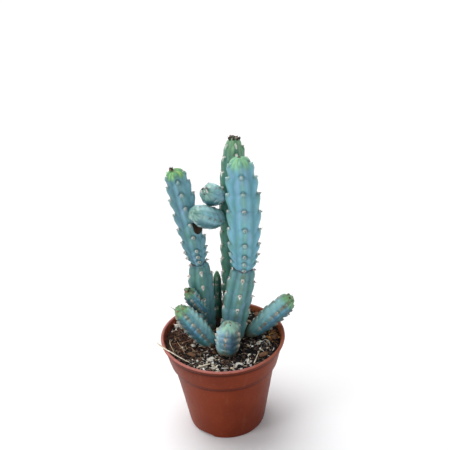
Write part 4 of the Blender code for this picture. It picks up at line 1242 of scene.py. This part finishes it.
straws = {
    "straw_rim": ([(-56.1, -9.6, 87.4), (-48.6, -18.6, 87.2), (-43.8, -22.2, 86.4), (-36.2, -26.8, 83.6),
                   (-28.8, -30.8, 81.6)], 0.55),
    "straw_front": ([(-22.0, -38.4, 81.9), (-18.4, -37.2, 82.1), (-15.0, -36.2, 82.5), (-12.1, -35.3, 82.7)], 0.8),
    "straw_right": ([(23.6, -36.4, 81.5), (25.6, -31.0, 81.8), (27.4, -25.8, 81.8), (29.3, -20.6, 81.5)], 0.55),
    "light": tint(240, 231, 212), "dark": tint(190, 168, 138),
    "extra": [  # x, y and lift over the soil, then thickness and colour
        ([(-21.4, -11.1, 1.2), (-18.0, -9.8, 1.9), (-14.4, -10.4, 1.8), (-11.2, -12.1, 1.0)], 0.4, (226, 218, 200)),
        ([(-43.7, 7.8, 0.8), (-39.5, -2.0, 1.4), (-35.5, -12.0, 1.3), (-32.2, -19.5, 0.7)], 0.28, (176, 142, 112)),
        ([(29.3, -20.6, 1.2), (31.0, -21.6, 1.5), (32.8, -22.3, 0.8)], 0.4, (222, 216, 200)),
        ([(32.5, -6.3, 0.6), (35.2, -5.6, 1.4), (37.5, -7.5, 1.6), (38.6, -10.0, 1.2), (38.4, -12.5, 0.6)], 0.36,
         (228, 224, 212)),
        ([(17.1, -31.3, 1.0), (18.4, -34.0, 1.2), (19.7, -37.2, 0.6)], 0.4, (230, 226, 214)),
        ([(19.7, -37.2, 0.8), (21.0, -34.6, 1.3), (22.8, -32.4, 0.8)], 0.34, (214, 206, 190)),
        ([(-11.0, -38.0, 0.7), (-9.6, -40.0, 1.4), (-7.2, -39.6, 1.6), (-7.0, -37.6, 1.0), (-8.8, -37.0, 0.6)], 0.36,
         (224, 218, 204)),
        ([(45.2, 3.4, 0.6), (41.5, 1.4, 1.6), (38.6, 2.2, 1.0)], 0.4, (206, 158, 92)),
        ([(43.0, 6.4, 0.8), (41.0, 2.6, 1.2), (40.4, -1.0, 0.7)], 0.34, (190, 140, 82)),
        ([(27.5, 24.0, 0.8), (29.3, 26.6, 1.4), (30.8, 28.7, 0.8)], 0.4, (220, 212, 196)),
        ([(41.2, -14.6, 0.6), (41.4, -17.6, 1.2), (39.8, -20.4, 0.7)], 0.42, (224, 218, 206)),
        ([(-33.0, -14.0, 0.9), (-29.0, -10.0, 1.5), (-24.6, -16.0, 0.8)], 0.22, (190, 160, 130)),
        ([(-38.0, -4.0, 0.9), (-31.0, -3.0, 1.7), (-26.0, 1.0, 0.8)], 0.22, (170, 134, 104)),
        ([(-46.3, 3.0, 1.0), (-45.4, -6.0, 1.6), (-42.0, -15.6, 1.2)], 0.3, (206, 190, 160)),
    ],
}


def perliteFinish():
    material, wire = newFinish("perlite")
    at = wire.place()
    pits = wire.cells(at, 1300.0)
    fine = wire.grain(at, 1800.0, 3.0)
    colour = wire.grain(at, 500.0).fade(0.48, 0.72).blend(perlite["white"], perlite["stain"])
    colour = (pits.fade(0.22, 0.05) * 0.6).blend(colour, perlite["pit"])
    bump = wire.bump(pits * 0.8 + fine * 0.4, 0.9, 0.0006)
    return setShader(material, {"Base Color": colour, "Roughness": 0.88 + (fine - 0.5) * 0.15, "Normal": bump})


def barkFinish():
    material, wire = newFinish("barkChip")
    along = wire.place("skinPlace", (0.25, 2.2, 2.2))
    lines = wire.grain(along, 1.1, 5.0, 0.65)
    fine = wire.grain(wire.place("skinPlace"), 3.0, 3.0)
    colour = (lines + (fine - 0.5) * 0.3).fade(0.35, 0.65).blend(bark["dark"], bark["light"])
    bump = wire.bump(lines * 0.9 + fine * 0.3, 0.9, 0.0008)
    return setShader(material, {"Base Color": colour, "Roughness": 0.8 + (fine - 0.5) * 0.2, "Normal": bump})


def strawFinish():
    material, wire = newFinish("dryStraw")
    at = wire.place()
    along = wire.attribute("alongSpine")
    lines = wire.grain(wire.place("skinPlace", (3.0, 3.0, 0.1)), 1.0, 3.0)
    colour = (lines + (wire.grain(at, 260.0) - 0.5) * 0.8).fade(0.38, 0.75).blend(straws["light"], straws["dark"])
    colour = ((1 - along.fade(0.0, 0.06)) * 0.6 + along.fade(0.95, 1.0) * 0.5).blend(colour, straws["dark"])
    bump = wire.bump(lines, 0.6, 0.0003)
    return setShader(material, {"Base Color": colour, "Roughness": 0.6 + (lines - 0.5) * 0.2, "Normal": bump})


def makeLoosePieces():
    dice = random.Random(5)
    finish = perliteFinish()
    for name in [key for key in perlite if key.startswith("perlite_")]:
        (x, y), size = perlite[name]
        shape, faces = lump(dice, np.array(size) / 2, 0.55, 4)
        fine = np.array([noise.noise(Vector(p) * 1.3) * 0.9 + noise.noise(Vector(p) * 3.4 + Vector((5, 1, 2))) * 0.5
                         for p in shape])
        shape = shape * (1 + fine / np.maximum(np.linalg.norm(shape, axis=1), 0.8))[:, None]
        shape = shape * (np.array(size) / 2 / np.abs(shape).max(axis=0))
        low, high = (np.array(c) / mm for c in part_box(name))
        shape += (low + high) / 2
        makePiece("perliteLump" + name[-1], shape, faces, finish, name)
    finish = barkFinish()
    for name in [key for key in bark if key.startswith("bark_")]:
        (x, y), size, turn = bark[name]
        shape, faces = lump(dice, 1.0, 0.0, 4)
        box = np.sign(shape) * np.abs(shape) ** 0.45  # the ball squared off to a chip
        box = box / np.abs(box).max(axis=0) * np.array(size) / 2
        wobble = np.array([noise.noise((p[0] * 0.5, p[1] * 0.9, 7.0 + x)) for p in box])
        edge = np.array([noise.noise((p[0] * 1.4, p[1] * 2.6, p[2] * 1.5 + y)) for p in box])
        box[:, 1] *= 1 + 0.25 * wobble
        box[:, 2] += 0.35 * wobble + 0.18 * edge
        box[:, 0] *= 1 + 0.14 * edge
        local = box.copy()
        c, s = math.cos(math.radians(turn)), math.sin(math.radians(turn))
        box = box @ np.array(((c, s, 0), (-s, c, 0), (0, 0, 1)))
        low, high = (np.array(q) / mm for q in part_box(name))
        box += (low + high) / 2
        makePiece("barkChip" + name[-1], box, faces, finish, name, {"skinPlace": local})
    finish = strawFinish()
    for name, label in (("straw_rim", "strawOverRim"), ("straw_front", "strawAtFront"), ("straw_right", "strawAtRight")):
        path, thick = straws[name]
        line = smoothPath(path, 10)
        store = newStore()
        count = len(line)
        width = [thick * (1 - 0.35 * (k / count) + 0.08 * math.sin(k * 0.9)) for k in range(count)]
        addTube(store, line, width, 12)
        points = np.concatenate(store["points"])
        share = np.concatenate(store["share"])
        turn = np.tile(np.arange(12) * 2 * math.pi / 12, count)
        local = np.stack([np.cos(turn) * thick, np.sin(turn) * thick, share * count], -1)
        makePiece(label, points, store["faces"], finish, name, {"alongSpine": share, "skinPlace": local})


plants = [
    ("mainStem", "stem_main", "blue_skin", mainStem, "blue", "pale", "dark"),
    ("leftStem", "stem_left", "blue_skin", leftStem, "dull", "pale", "pink"),
    ("backStem", "stem_back", "green_skin", backStem, "green", "white", "pink"),
    ("upperPup", "pup_upper", "blue_skin", upperPup, "pale", "brown", "dark"),
    ("lowerPup", "pup_lower", "blue_skin", lowerPup, "pale", "brown", "dark"),
    ("frontShoot", "offset_front", "blue_skin", frontShoot, "front", "brown", "dark"),
    ("leftShoot", "offset_left_front", "blue_skin", leftShoot, "teal", "brown", "pink"),
    ("leftBackShoot", "offset_left_back", "blue_skin", leftBackShoot, "teal", "brown", "dark"),
    ("rightShoot", "offset_right", "blue_skin", rightShoot, "teal", "brown", "dark"),
    ("backShoot", "offset_back", "green_skin", backShoot, "green", "brown", "dark"),
]
makePot()
print("the pot is turned")
makeSoil()
makeCrumbs()
makeThreads()
print("the soil is filled in")
makeLoosePieces()
print("perlite, bark and straws are laid")
for name, node, slot, stem, skin, felt, spine in plants:
    dice = random.Random(name)
    line = makeStem(name, node, stem, skins[skin])
    makeAreoles(name, stem, line, felts[felt], dice)
    makeSpines(name, stem, line, spineLooks[spine], dice)
    makeCrown(name, stem, line, spineLooks["dark"], felts[stem["crown"].get("felt", "brown")], dice)
    print(name, "is grown")

bpy.context.view_layer.update()
